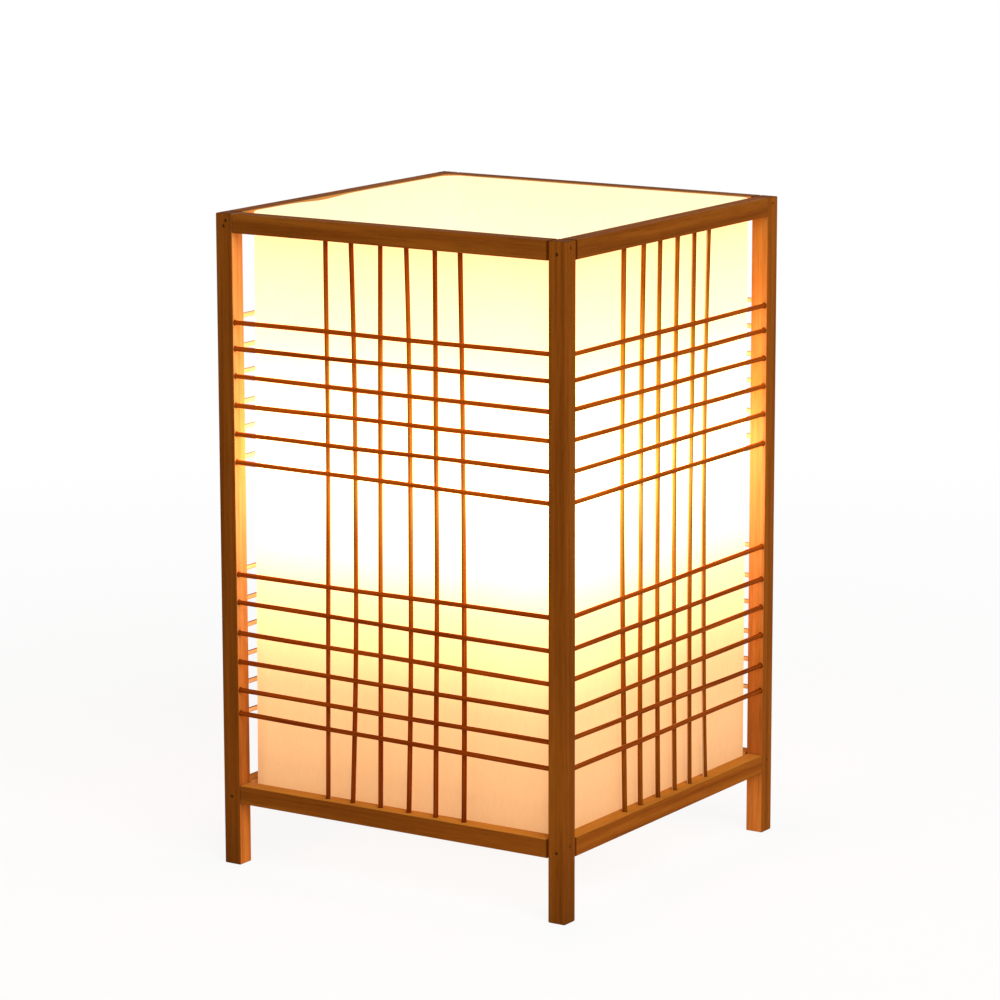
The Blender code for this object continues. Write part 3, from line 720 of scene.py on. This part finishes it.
def add_board(name, node, material, slot, holes, notch=None):
    """A planed board the size of a node, with rounded arrises, drilled holes and maybe a notch."""
    shape = bmesh.new()
    add_box(shape, *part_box(node))
    ease_edges(shape, ARRIS, ARRIS_STEPS)
    board = add_piece(name, finish_mesh(shape, name), material, "frame", slot, node)
    drills = bmesh.new()
    for mouth, direction, depth, diameter in holes:
        start = Vector(mouth) - direction * ARRIS
        add_prism(drills, start, direction, depth + ARRIS, diameter / 2, HOLE_STEPS)
    cut_away(board, drills)
    if notch:
        block = bmesh.new()
        add_box(block, *notch)
        cut_away(board, block)
    smooth = board.modifiers.new("flat_shading", "WEIGHTED_NORMAL")
    smooth.keep_sharp = True
    bake(board)


def strays(table, side, count, ends):
    """The strays of one side's sticks in metres, from the table or by chance."""
    rows = table.get(side)
    if not rows:
        chance = random.Random(f"{side} {ends}")
        rows = [[chance.uniform(-CHANCE_STRAY, CHANCE_STRAY) for _ in range(ends)] for _ in range(count)]
    return [[value / 1000 for value in row] for row in rows]


def upright_places(side):
    """The foot, middle and top of each upright along one side, seen from outside."""
    centre = (UPRIGHT_COUNT - 1) / 2
    even = [(index - centre) * UPRIGHT_PITCH for index in range(UPRIGHT_COUNT)]
    shifts = strays(UPRIGHT_STRAY, side, UPRIGHT_COUNT, 3)
    return [[place + shift for shift in row] for place, row in zip(even, shifts)]


def cross_heights(side):
    """The heights of each cross stick's left and right end, seen from outside, from the top down."""
    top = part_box("top_rail_front")[0].z - UPPER_CROSS_DROP
    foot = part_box("bottom_rail_front")[1].z + LOWER_CROSS_RISE
    even = [top - index * UPPER_CROSS_PITCH for index in range(CROSS_COUNT)]
    even += [foot + index * LOWER_CROSS_PITCH for index in reversed(range(CROSS_COUNT))]
    shifts = strays(CROSS_STRAY, side, CROSS_COUNT * 2, 2)
    return [[height + shift for shift in row] for height, row in zip(even, shifts)]


def pin_places(corner):
    """The heads of the pins in one post, each with the way that it is driven."""
    low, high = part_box(f"post_{corner}")
    centre = (low + high) / 2
    half = (high.x - low.x) / 2
    side_x, side_y = CORNERS[corner]
    places = []
    for level in LEVELS:
        rail_low, rail_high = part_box(f"{level}_rail_front")
        middle = (rail_low.z + rail_high.z) / 2
        head_x = Vector((centre.x + side_x * half, centre.y, middle + PIN_STAGGER / 2))
        head_y = Vector((centre.x, centre.y + side_y * half, middle - PIN_STAGGER / 2))
        places += [(head_x, Vector((-side_x, 0, 0))), (head_y, Vector((0, -side_y, 0)))]
        if level == "top" and corner == SECOND_PIN_CORNER:
            head, direction = places[-1]
            places.append((head + Vector(SECOND_PIN_SHIFT), direction))
    return places


def add_posts():
    for corner, (side_x, side_y) in CORNERS.items():
        low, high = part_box(f"post_{corner}")
        inner_x, outer_x = sorted((low.x, high.x), key=abs)
        inner_y, outer_y = sorted((low.y, high.y), key=abs)
        holes = []
        # Seen from outside, each cross stick ends at its left in one post and at its right in the next
        for heights in cross_heights("front" if side_y < 0 else "back"):
            mouth = (inner_x, outer_y - side_y * CROSS_DEPTH, heights[0 if side_x == side_y else 1])
            holes.append((mouth, Vector((side_x, 0, 0)), STICK_HOLE_DEPTH, STICK_HOLE))
        for heights in cross_heights("right" if side_x > 0 else "left"):
            mouth = (outer_x - side_x * CROSS_DEPTH, inner_y, heights[1 if side_x == side_y else 0])
            holes.append((mouth, Vector((0, side_y, 0)), STICK_HOLE_DEPTH, STICK_HOLE))
        for mouth, direction in pin_places(corner):
            holes.append((mouth, direction, PIN_HOLE_DEPTH, PIN_HOLE))
        material = board_material(f"post_{corner}", 2)
        add_board(f"wood_post_{corner}", f"post_{corner}", material, "wood_frame", holes)


def bar_notch(node):
    """The corners of the notch in a rail that takes the end of the base bar."""
    rail_low, rail_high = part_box(node)
    low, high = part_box("base_bar")
    gap = Vector((SEAT_GAP, SEAT_GAP, SEAT_GAP))
    low = low - gap
    high = high + gap
    low.z = rail_low.z - ARRIS
    if rail_low.x > 0:
        low.x = rail_low.x - ARRIS
    else:
        high.x = rail_high.x + ARRIS
    return low, high


def add_rails():
    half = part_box("post_front_right")[1].x
    for level in LEVELS:
        inward = Vector((0, 0, 1 if level == "top" else -1))
        for turn, side in enumerate(SIDES):
            node = f"{level}_rail_{side}"
            low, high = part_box(node)
            mouth_height = low.z if level == "top" else high.z
            spin = Matrix.Rotation(turn * math.pi / 2, 3, "Z")
            holes = []
            for foot, _, head in upright_places(side):
                place = head if level == "top" else foot
                mouth = spin @ Vector((place, UPRIGHT_DEPTH - half, mouth_height))
                holes.append((mouth, inward, STICK_HOLE_DEPTH, STICK_HOLE))
            material = board_material(node, turn % 2)
            notch = bar_notch(node) if level == "bottom" and side in ("left", "right") else None
            add_board(f"wood_rail_{level}_{side}", node, material, "wood_frame", holes, notch)


def add_pin(shape, head, direction):
    """A round pin, driven along a direction and set just below the surface at its head."""
    start = Vector(head) + direction * PIN_SET
    add_prism(shape, start, direction, PIN_LENGTH, PIN_DIAMETER / 2, PIN_STEPS)


def add_pin_piece(name, shape, material, nodes):
    ease_edges(shape, PIN_BEVEL, PIN_BEVEL_STEPS)
    add_piece(name, finish_mesh(shape, name), material, "frame", "nail_steel", *nodes)


def add_pins(materials):
    """The pins that hold the posts to the rails."""
    shape = bmesh.new()
    nodes = []
    for corner in CORNERS:
        for head, direction in pin_places(corner):
            add_pin(shape, head, direction)
        nodes += [f"nail_{level}_{corner}_{axis}" for level in LEVELS for axis in "xy"]
    add_pin_piece("frame_pins", shape, materials["pin"], nodes)


def add_stick(shape, start, end, across, chance, bow=Vector()):
    """A round stick that bows, wanders and swells a little along its length, with its ends in place.

    Of the four phases and turns drawn, two are for the wander and one is for the swell."""
    run = end - start
    other = run.normalized().cross(across)
    phases = [chance.uniform(0, math.tau) for _ in range(4)]
    turns = [chance.uniform(*STICK_WANDER_TURNS) for _ in range(4)]
    rings = []
    for ring in range(STICK_RINGS + 1):
        share = ring / STICK_RINGS
        hold = math.sin(math.pi * share)
        sway, drift = (math.sin(phases[index] + math.tau * turns[index] * share) for index in (0, 1))
        centre = start + run * share + (across * sway + other * drift) * STICK_WANDER * hold
        centre += bow * 4 * share * (1 - share)
        swell = math.sin(phases[2] + STICK_SWELL_RATE * turns[2] * share)
        radius = STICK_DIAMETER / 2 * (1 - STICK_SWELL + STICK_SWELL * swell)
        points = []
        for step in range(STICK_STEPS):
            angle = math.tau * step / STICK_STEPS
            outward = across * math.cos(angle) + other * math.sin(angle)
            points.append(shape.verts.new(centre + outward * radius))
        rings.append(points)
    add_faces(shape, [[*points, points[0]] for points in rings])
    shape.faces.new(rings[0])
    shape.faces.new(rings[-1])


def add_lattices():
    """Twelve cross sticks in front of six uprights on each side."""
    low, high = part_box("post_front_right")
    reach = low.x + STICK_TENON
    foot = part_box("bottom_rail_front")[1].z - STICK_TENON
    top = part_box("top_rail_front")[0].z + STICK_TENON
    cross_line = CROSS_DEPTH - high.x
    upright_line = UPRIGHT_DEPTH - high.x
    for turn, side in enumerate(SIDES):
        chance = random.Random(LATTICE_SEED + turn)
        spin = Matrix.Rotation(turn * math.pi / 2, 3, "Z")
        outward = spin @ Vector((0, -1, 0))
        crosses = bmesh.new()
        for left, right in cross_heights(side):
            start = spin @ Vector((-reach, cross_line, left))
            end = spin @ Vector((reach, cross_line, right))
            add_stick(crosses, start, end, outward, chance)
        uprights = bmesh.new()
        for place, middle, head in upright_places(side):
            start = spin @ Vector((place, upright_line, foot))
            end = spin @ Vector((head, upright_line, top))
            bow = spin @ Vector((middle - (place + head) / 2, 0, 0))
            add_stick(uprights, start, end, outward, chance, bow)
        for kind, shape, axis in (("cross", crosses, turn % 2), ("upright", uprights, 2)):
            name = f"{kind}_sticks_{side}"
            mesh = finish_mesh(shape, name)
            add_piece(name, mesh, stick_material(side, axis), "frame", "lattice_stick", f"lattice_{side}")


def arc(centre, radius, start, end, steps):
    """Points round a centre from one angle to another, both ends included."""
    angles = [math.radians(start + (end - start) * step / steps) for step in range(steps + 1)]
    return [(centre[0] + radius * math.cos(angle), centre[1] + radius * math.sin(angle)) for angle in angles]


def between(start, end, share):
    """The point at a share of the way from one point to another."""
    return (start[0] + (end[0] - start[0]) * share, start[1] + (end[1] - start[1]) * share)


def straight(start, end, steps):
    """Points between two ends, both left out."""
    return [between(start, end, step / steps) for step in range(1, steps)]


def sheet_path(reach, share):
    """The sheet's outer line at a share of its height, clockwise from above, on behind its own start."""
    foot, top = SHEET_SLACK_RADII
    slack = foot + (top - foot) * share
    corners = (
        (-1, 1, 180, SHEET_CORNER_RADIUS), (1, 1, 90, SHEET_TIGHT_RADIUS),
        (1, -1, 0, SHEET_CORNER_RADIUS), (-1, -1, -90, slack),
    )
    inset = SHEET_THICKNESS + SEAT_GAP
    centre = reach - SHEET_CORNER_RADIUS
    start = centre - SHEET_LAP
    path = [(-reach, start)]
    for corner_x, corner_y, angle, radius in corners:
        middle = reach - radius
        turn = arc((corner_x * middle, corner_y * middle), radius, angle, angle - 90, SHEET_CORNER_STEPS)
        if len(path) > 1:
            path += straight(path[-1], turn[0], SHEET_FLAT_STEPS)
        path += turn
    jog = (-reach, start - SHEET_JOG - SEAT_GAP)
    path += straight(path[-1], jog, SHEET_FLAT_STEPS)
    path += [jog, (inset - reach, start - SEAT_GAP)]
    path += arc((-centre, centre), SHEET_CORNER_RADIUS - inset, 180, 90, SHEET_CORNER_STEPS)
    path.append((SHEET_LAP - centre, reach - inset))
    return path


def top_dip(x, y):
    """How far the sheet's upper edge dips at a place on the left side."""
    if x > -SHEET_DIP_SIDE:
        return 0.0
    return SHEET_DIP_DEPTH * math.exp(-((y - SHEET_DIP_MIDDLE) / SHEET_DIP_WIDTH) ** 2)


def drawn_in(place, across, share, height, flat, rate):
    """A place on the sheet drawn towards the lamp's axis, most at the middle of a side."""
    hold = math.sin(math.pi * share) * math.cos(min(1, abs(across) / flat) * math.pi / 2)
    wave = 1 - SHEET_DRAW_WAVE + SHEET_DRAW_WAVE * math.sin(rate * height / flat)
    return place - math.copysign(SHEET_DRAW * hold * wave, place)


def add_sheet(materials):
    """The wrapped sheet, drawn in a little between the corners and lapped at the back left."""
    low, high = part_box("shade_sheet")
    flat = high.x - SHEET_CORNER_RADIUS
    shape = bmesh.new()
    rows = []
    for row in range(SHEET_ROWS + 1):
        share = row / SHEET_ROWS
        height = low.z + (high.z - low.z) * share
        points = []
        for x, y in sheet_path(high.x, share):
            drawn_x = drawn_in(x, y, share, height, flat, SHEET_DRAW_RATES[0])
            drawn_y = drawn_in(y, x, share, height, flat, SHEET_DRAW_RATES[1])
            level = height - share ** SHEET_DIP_FADE * top_dip(x, y)
            points.append(shape.verts.new((drawn_x, drawn_y, level)))
        rows.append(points)
    add_faces(shape, rows)
    mesh = make_mesh(shape, "wrapped_sheet")
    mesh.shade_smooth()
    sheet = add_piece("wrapped_sheet", mesh, materials["sheet"], "frame", "shade_sheet", "shade_sheet")
    shell = sheet.modifiers.new("thickness", "SOLIDIFY")
    shell.thickness = SHEET_THICKNESS
    bake(sheet)
    sheet.data.set_sharp_from_angle(angle=math.radians(SHEET_SHARP_ANGLE))
    path = sheet_path(high.x, 0.5)  # half way up
    width = sum(math.dist(first, second) for first, second in zip(path, path[1:]))
    return sheet, width, high.z - low.z


def rounded(points, radius, steps=ROUNDING_STEPS):
    """A line of (radius, height) points with its corners rounded, within a share of each stretch."""
    line = [points[0]]
    for before, corner, after in zip(points, points[1:], points[2:]):
        ends = []
        for other in (before, after):
            length = math.dist(corner, other)
            ends.append(between(corner, other, min(radius, length * ROUNDING_SHARE) / length))
        for step in range(steps + 1):
            share = step / steps
            first = between(ends[0], corner, share)
            second = between(corner, ends[1], share)
            line.append(between(first, second, share))
    line.append(points[-1])
    return line


def rounded_ring(points, radius, steps=ROUNDING_STEPS):
    """The outline of a ring's section, with all its corners rounded but the first."""
    return rounded([*points, points[0]], radius, steps)[:-1]


def flat_ring(node, bore, rounding):
    """The outline of a flat ring's section, as wide and high as a node."""
    low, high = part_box(node)
    points = [(bore, high.z), (high.x, high.z), (high.x, low.z), (bore, low.z)]
    return rounded_ring(points, rounding)


def add_turned(name, profile, material, body, slot, node, shaped=None, steps=ROUND_STEPS):
    """A piece of (radius, height) points spun round Z. With no point on the axis it is closed as a ring."""
    shape = bmesh.new()
    poles = {height: shape.verts.new((0, 0, height)) for radius, height in profile if radius == 0}
    columns = []
    for step in range(steps):
        angle = math.tau * step / steps
        column = []
        for radius, height in profile:
            if radius == 0:
                column.append(poles[height])
                continue
            reach = shaped(radius, angle, height) if shaped else radius
            column.append(shape.verts.new((reach * math.cos(angle), reach * math.sin(angle), height)))
        if not poles:
            column.append(column[0])
        columns.append(column)
    add_faces(shape, columns + columns[:1])
    add_piece(name, finish_mesh(shape, name, TURNED_SHARP_ANGLE), material, body, slot, node)


def thread(outer, depth, pitch, bottom, top, rows):
    """The rows of a screw's profile from the top down, and the form that turns them into a helix."""
    count = math.ceil((top - bottom) / pitch * rows)
    line = [(outer, top - (top - bottom) * row / count) for row in range(count + 1)]

    def shaped(radius, angle, height):
        if radius < outer - depth or not bottom <= height <= top:
            return radius
        fade = min(1.0, (height - bottom) / pitch, (top - height) / pitch)
        wave = 0.5 + 0.5 * math.cos(math.tau * height / pitch - angle)
        return outer - depth * (1 - wave * max(0.0, fade))

    return line, shaped


def add_base_bar(materials):
    """The bar that carries the stem, with the pins that hold it to the side rails."""
    low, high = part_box("base_bar")
    up = Vector((0, 0, 1))
    nodes = [f"bar_nail_{end}_{edge}" for end in ("left", "right") for edge in ("front", "back")]
    holes = [((0, 0, low.z), up, high.z - low.z + ARRIS, BAR_HOLE)]
    shape = bmesh.new()
    for node in nodes:
        nail_low, nail_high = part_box(node)
        centre = (nail_low + nail_high) / 2
        head = (centre.x, centre.y, low.z)
        holes.append((head, up, PIN_HOLE_DEPTH, PIN_HOLE))
        add_pin(shape, head, up)
    add_board("wood_bar", "base_bar", materials["bar"], "bar_wood", holes)
    add_pin_piece("bar_pins", shape, materials["pin"], nodes)


def add_stem(materials):
    """The threaded stem with its nuts and washers and the bushing where the lead goes in."""
    zinc = (materials["zinc"], "frame", "zinc_steel")
    low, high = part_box("stem_tube")
    radius = high.x
    inner = STEM_BORE / 2
    rows, shaped = thread(radius, STEM_THREAD, STEM_PITCH, low.z, high.z, STEM_THREAD_ROWS)
    line = rows + [(inner, low.z), (inner, high.z)]
    add_turned("threaded_stem", line, *zinc, "stem_tube", shaped, STEM_STEPS)
    bore = radius + SEAT_GAP
    for place in ("lower", "upper"):
        node = f"stem_washer_{place}"
        add_turned(f"washer_{place}", flat_ring(node, bore, WASHER_ROUNDING), *zinc, node)
    for node in ("stem_nut_lower", "stem_nut_upper", "holder_lock_nut"):
        add_nut(node, bore, zinc)
    low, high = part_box("cord_bushing")
    hole = BUSHING_BORE / 2
    sleeve = inner - SEAT_GAP
    flange = low.z + BUSHING_FLANGE
    line = [(hole, high.z), (sleeve, high.z), (sleeve, flange), (high.x, flange)]
    line = rounded_ring([*line, (high.x, low.z), (hole, low.z)], BUSHING_ROUNDING)
    add_turned("lead_bushing", line, materials["black"], "frame", "bushing_plastic", "cord_bushing")


def add_nut(node, bore, zinc):
    """A six-sided nut whose corners are turned off at both faces."""
    low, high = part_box(node)
    flat = min(high.x, high.y)
    turn = 0.0 if high.x > high.y else math.pi / 6

    def shaped(radius, angle, height):
        if radius <= bore:
            return radius
        sector = (angle - turn) % (math.pi / 3) - math.pi / 6
        below_face = min(high.z - height, height - low.z)
        return min(flat / math.cos(sector), flat * NUT_FACE_SHARE + below_face * NUT_CHAMFER_SLOPE)

    corner = flat / math.cos(math.pi / 6)
    heights = [NUT_CHAMFER * step / NUT_CHAMFER_STEPS for step in range(NUT_CHAMFER_STEPS + 1)]
    line = [(corner, high.z - height) for height in heights]
    line += [(corner, low.z + height) for height in reversed(heights)]
    line += [(bore, low.z), (bore, high.z)]
    add_turned(f"chamfered_{node}", line, *zinc, node, shaped, NUT_STEPS)


def ribbed(count, depth, bottom, top, least):
    """Shallow moulded ribs between two heights, on the outer side only."""

    def shaped(radius, angle, height):
        if radius < least or not bottom < height < top:
            return radius
        return radius - depth * (0.5 + 0.5 * math.cos(count * angle)) ** 2

    return shaped


def shoulder(inner, outer, bottom, top, steps):
    """A quarter ellipse from the outer radius at the top in to the inner radius at the bottom."""
    points = arc((0, 0), 1, 0, -90, steps)
    return [(inner + (outer - inner) * x, top + (top - bottom) * y) for x, y in points]


def add_holder(materials):
    """The lampholder's base, ribbed skirt and mouth ring."""
    plastic = (materials["holder"], "frame", "holder_plastic")
    low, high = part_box("holder_base")
    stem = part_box("stem_tube")[1].x + SEAT_GAP
    collar = stem + COLLAR_WALL
    outer = high.x
    inner = outer - HOLDER_WALL
    collar_top = low.z + COLLAR_HEIGHT
    floor = collar_top + HOLDER_WALL
    top = low.z + SHOULDER_HEIGHT
    line = [(inner, high.z), (outer, high.z), *shoulder(collar, outer, collar_top, top, SHOULDER_STEPS)]
    line += [(collar, low.z), (stem, low.z), (stem, floor), (collar, floor)]
    line += [(inner - HOLDER_LEDGE, top), (inner, top)]
    line = rounded_ring(line, HOLDER_ROUNDING, HOLDER_ROUNDING_STEPS)
    add_turned("holder_cup", line, *plastic, "holder_base")

    low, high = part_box("holder_skirt")
    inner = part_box("holder_ring")[1].x + SEAT_GAP
    outer = high.x
    count = math.floor((high.z - low.z - 2 * GRIP_MARGIN) / GRIP_ROW)
    rows = [high.z - GRIP_MARGIN - step * GRIP_ROW for step in range(count)]
    line = [(inner, high.z), (outer, high.z), *((outer, height) for height in rows)]
    line = rounded_ring([*line, (outer, low.z), (inner, low.z)], GRIP_ROUNDING)
    shaped = ribbed(HOLDER_RIBS, HOLDER_RIB_DEPTH, rows[-1], rows[0], outer - GRIP_RIB_EDGE)
    steps = HOLDER_RIBS * HOLDER_RIB_STEPS
    add_turned("holder_grip", line, *plastic, "holder_skirt", shaped, steps)

    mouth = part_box("screw_shell")[1].x + SEAT_GAP
    line = flat_ring("holder_ring", mouth, MOUTH_ROUNDING)
    add_turned("holder_mouth", line, *plastic, "holder_ring")


def add_cap(materials):
    """The bulb's threaded cap, insulating button and contact tip."""
    low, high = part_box("bulb_cap")
    button_low, button_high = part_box("bulb_insulator")
    radius = high.x
    inner = radius - CAP_THREAD - CAP_WALL
    taper = low.z + CAP_TAPER
    rim = high.z - CAP_RIM
    mouth = button_high.x + SEAT_GAP
    rows, shaped = thread(radius, CAP_THREAD, CAP_PITCH, taper, rim, CAP_THREAD_ROWS)
    line = [(radius - CAP_WALL, high.z), (radius, high.z), *rows]
    line += [(mouth + CAP_WALL, low.z), (mouth, low.z), (inner, taper), (inner, rim)]
    add_turned("bulb_screw", line, materials["cap"], "bulb", "bulb_cap", "bulb_cap", shaped)

    hole = BUTTON_HOLE / 2
    line = [(hole, button_high.z), (button_high.x, button_high.z), (button_high.x, low.z)]
    line = rounded_ring([*line, (BUTTON_FOOT / 2, button_low.z), (hole, button_low.z)], BUTTON_ROUNDING)
    add_turned("bulb_glass_button", line, materials["black"], "bulb", "bulb_insulator", "bulb_insulator")

    low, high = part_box("bulb_tip")
    pin = TIP_PIN / 2
    line = [(0, high.z), (pin, high.z), (pin, low.z + TIP_HEIGHT), (high.x, low.z + TIP_SHOULDER)]
    line = rounded([*line, (high.x * TIP_NOSE_SHARE, low.z + TIP_NOSE), (0, low.z)], TIP_ROUNDING)
    add_turned("bulb_contact_tip", line, materials["brass"], "bulb_contact", "tip_brass", "bulb_tip")


def add_bulb(materials):
    """The bulb's frosted dome and the ribbed housing between it and the cap."""
    cap_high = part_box("bulb_cap")[1]
    dome_low, dome_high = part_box("bulb_dome")
    ball = dome_high.x
    centre = dome_high.z - ball
    inner = ball - DOME_WALL
    drop = centre - dome_low.z
    rim = math.degrees(math.asin(drop / ball))
    inner_rim = math.degrees(math.asin(drop / inner))
    line = [(0, centre + ball)] + arc((0, centre), ball, DOME_POLE_ANGLE, -rim, DOME_STEPS)
    line += arc((0, centre), inner, -inner_rim, DOME_POLE_ANGLE, DOME_STEPS) + [(0, centre + inner)]
    add_turned("bulb_globe", line, materials["dome"], "bulb", "bulb_dome", "bulb_dome")

    low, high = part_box("bulb_housing")
    radius = cap_high.x
    top = dome_low.z - SEAT_GAP
    bottom = cap_high.z + SEAT_GAP
    spigot = radius - CAP_WALL - CAP_THREAD - SEAT_GAP
    edge = math.sqrt(ball ** 2 - drop ** 2)
    plate = math.sqrt(inner ** 2 - drop ** 2) - SEAT_GAP
    line = [(0, high.z), (plate, high.z), (plate, top), *shoulder(radius, edge, bottom, top, HOUSING_STEPS)]
    line += [(spigot, bottom), (spigot, low.z), (0, low.z)]
    ends = (bottom + HOUSING_RIB_FOOT, top - HOUSING_RIB_HEAD)
    shaped = ribbed(HOUSING_RIBS, HOUSING_RIB_DEPTH, *ends, radius)
    steps = HOUSING_RIBS * HOUSING_RIB_STEPS
    white = materials["housing"]
    add_turned("bulb_body", line, white, "bulb", "bulb_housing", "bulb_housing", shaped, steps)


def dress_kept_nodes(materials):
    """The pieces inside the holder keep their solids and get their finish."""
    finishes = {"holder_insert": "insert", "screw_shell": "brass", "centre_contact": "brass"}
    for name, finish in finishes.items():
        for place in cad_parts[name].material_slots:
            place.material = materials[finish]


# Studio

def add_area(name, place, size, power):
    lamp = bpy.data.lights.new(name, "AREA")
    lamp.size = size
    lamp.energy = power
    holder = add_object(name, lamp)
    holder.location = place
    aim = Vector(VIEW_TARGET) - Vector(place)
    holder.rotation_euler = aim.to_track_quat("-Z", "Y").to_euler()


def seen_directly(tree):
    """1 for rays from the camera, off gloss and through glass, 0 for the rest."""
    path = add_node(tree, "LightPath", {})
    seen = path["Is Camera Ray"]
    for name in ("Is Glossy Ray", "Is Transmission Ray"):
        seen = calculate(tree, "Math", "MAXIMUM", seen, path[name])["Value"]
    return seen


def add_world():
    world = bpy.data.worlds.new("studio")
    bpy.context.scene.world = world
    world.use_nodes = True
    tree = world.node_tree
    level = spread(tree, seen_directly(tree), WORLD_LEVEL, 1.0, 0.0, 1.0)
    set_inputs(tree, tree.nodes["Background"], {"Color": grey(1), "Strength": level})


def floor_material():
    """White far from the lamp. Near it some of its own shade shows, with the soft shadow."""
    material, tree, shader = new_material("pale_floor")
    inputs = {"Base Color": grey(FLOOR_SHADE), "Roughness": FLOOR_ROUGHNESS, "Specular IOR Level": 0.0}
    set_inputs(tree, shader, inputs)
    light = add_node(tree, "Emission", {})["Emission"]
    place = add_node(tree, "TexCoord", {})["Object"]
    distance = calculate(tree, "VectorMath", "LENGTH", place)["Value"]
    glow = spread(tree, distance, FLOOR_GLOW, 1.0, *FLOOR_SHADOW_REACH)
    share = calculate(tree, "Math", "MULTIPLY", glow, seen_directly(tree))["Value"]
    mix = add_node(tree, "MixShader", {0: share, 1: shader.outputs["BSDF"], 2: light})["Shader"]
    set_inputs(tree, tree.nodes["Material Output"], {"Surface": mix})
    return material


def add_floor():
    shape = bmesh.new()
    bmesh.ops.create_grid(shape, x_segments=4, y_segments=4, size=FLOOR_SIZE / 2)
    mesh = make_mesh(shape, "floor")
    mesh.materials.append(floor_material())
    add_object("floor", mesh)


def add_camera():
    view = Matrix.Rotation(VIEW_AZIMUTH, 4, "Z") @ Matrix.Rotation(math.pi / 2 - VIEW_ELEVATION, 4, "X")
    place = Matrix.Translation(VIEW_TARGET) @ view @ Matrix.Translation((VIEW_SIDESTEP, 0, VIEW_DISTANCE))
    lens = bpy.data.cameras.new("photograph")
    lens.lens = FOCAL_LENGTH
    camera = add_object("photograph", lens)
    camera.matrix_world = place @ Matrix.Rotation(VIEW_ROLL, 4, "Z")
    bpy.context.scene.camera = camera


def main():
    bpy.context.scene.view_settings.view_transform = "Standard"
    add_camera()
    add_world()
    add_floor()
    for name, lamp in STUDIO_LAMPS.items():
        add_area(name, **lamp)
    materials = make_materials()
    add_posts()
    add_rails()
    add_pins(materials)
    add_lattices()
    sheet, width, height = add_sheet(materials)
    add_base_bar(materials)
    add_stem(materials)
    add_holder(materials)
    add_cap(materials)
    add_bulb(materials)
    dress_kept_nodes(materials)


main()
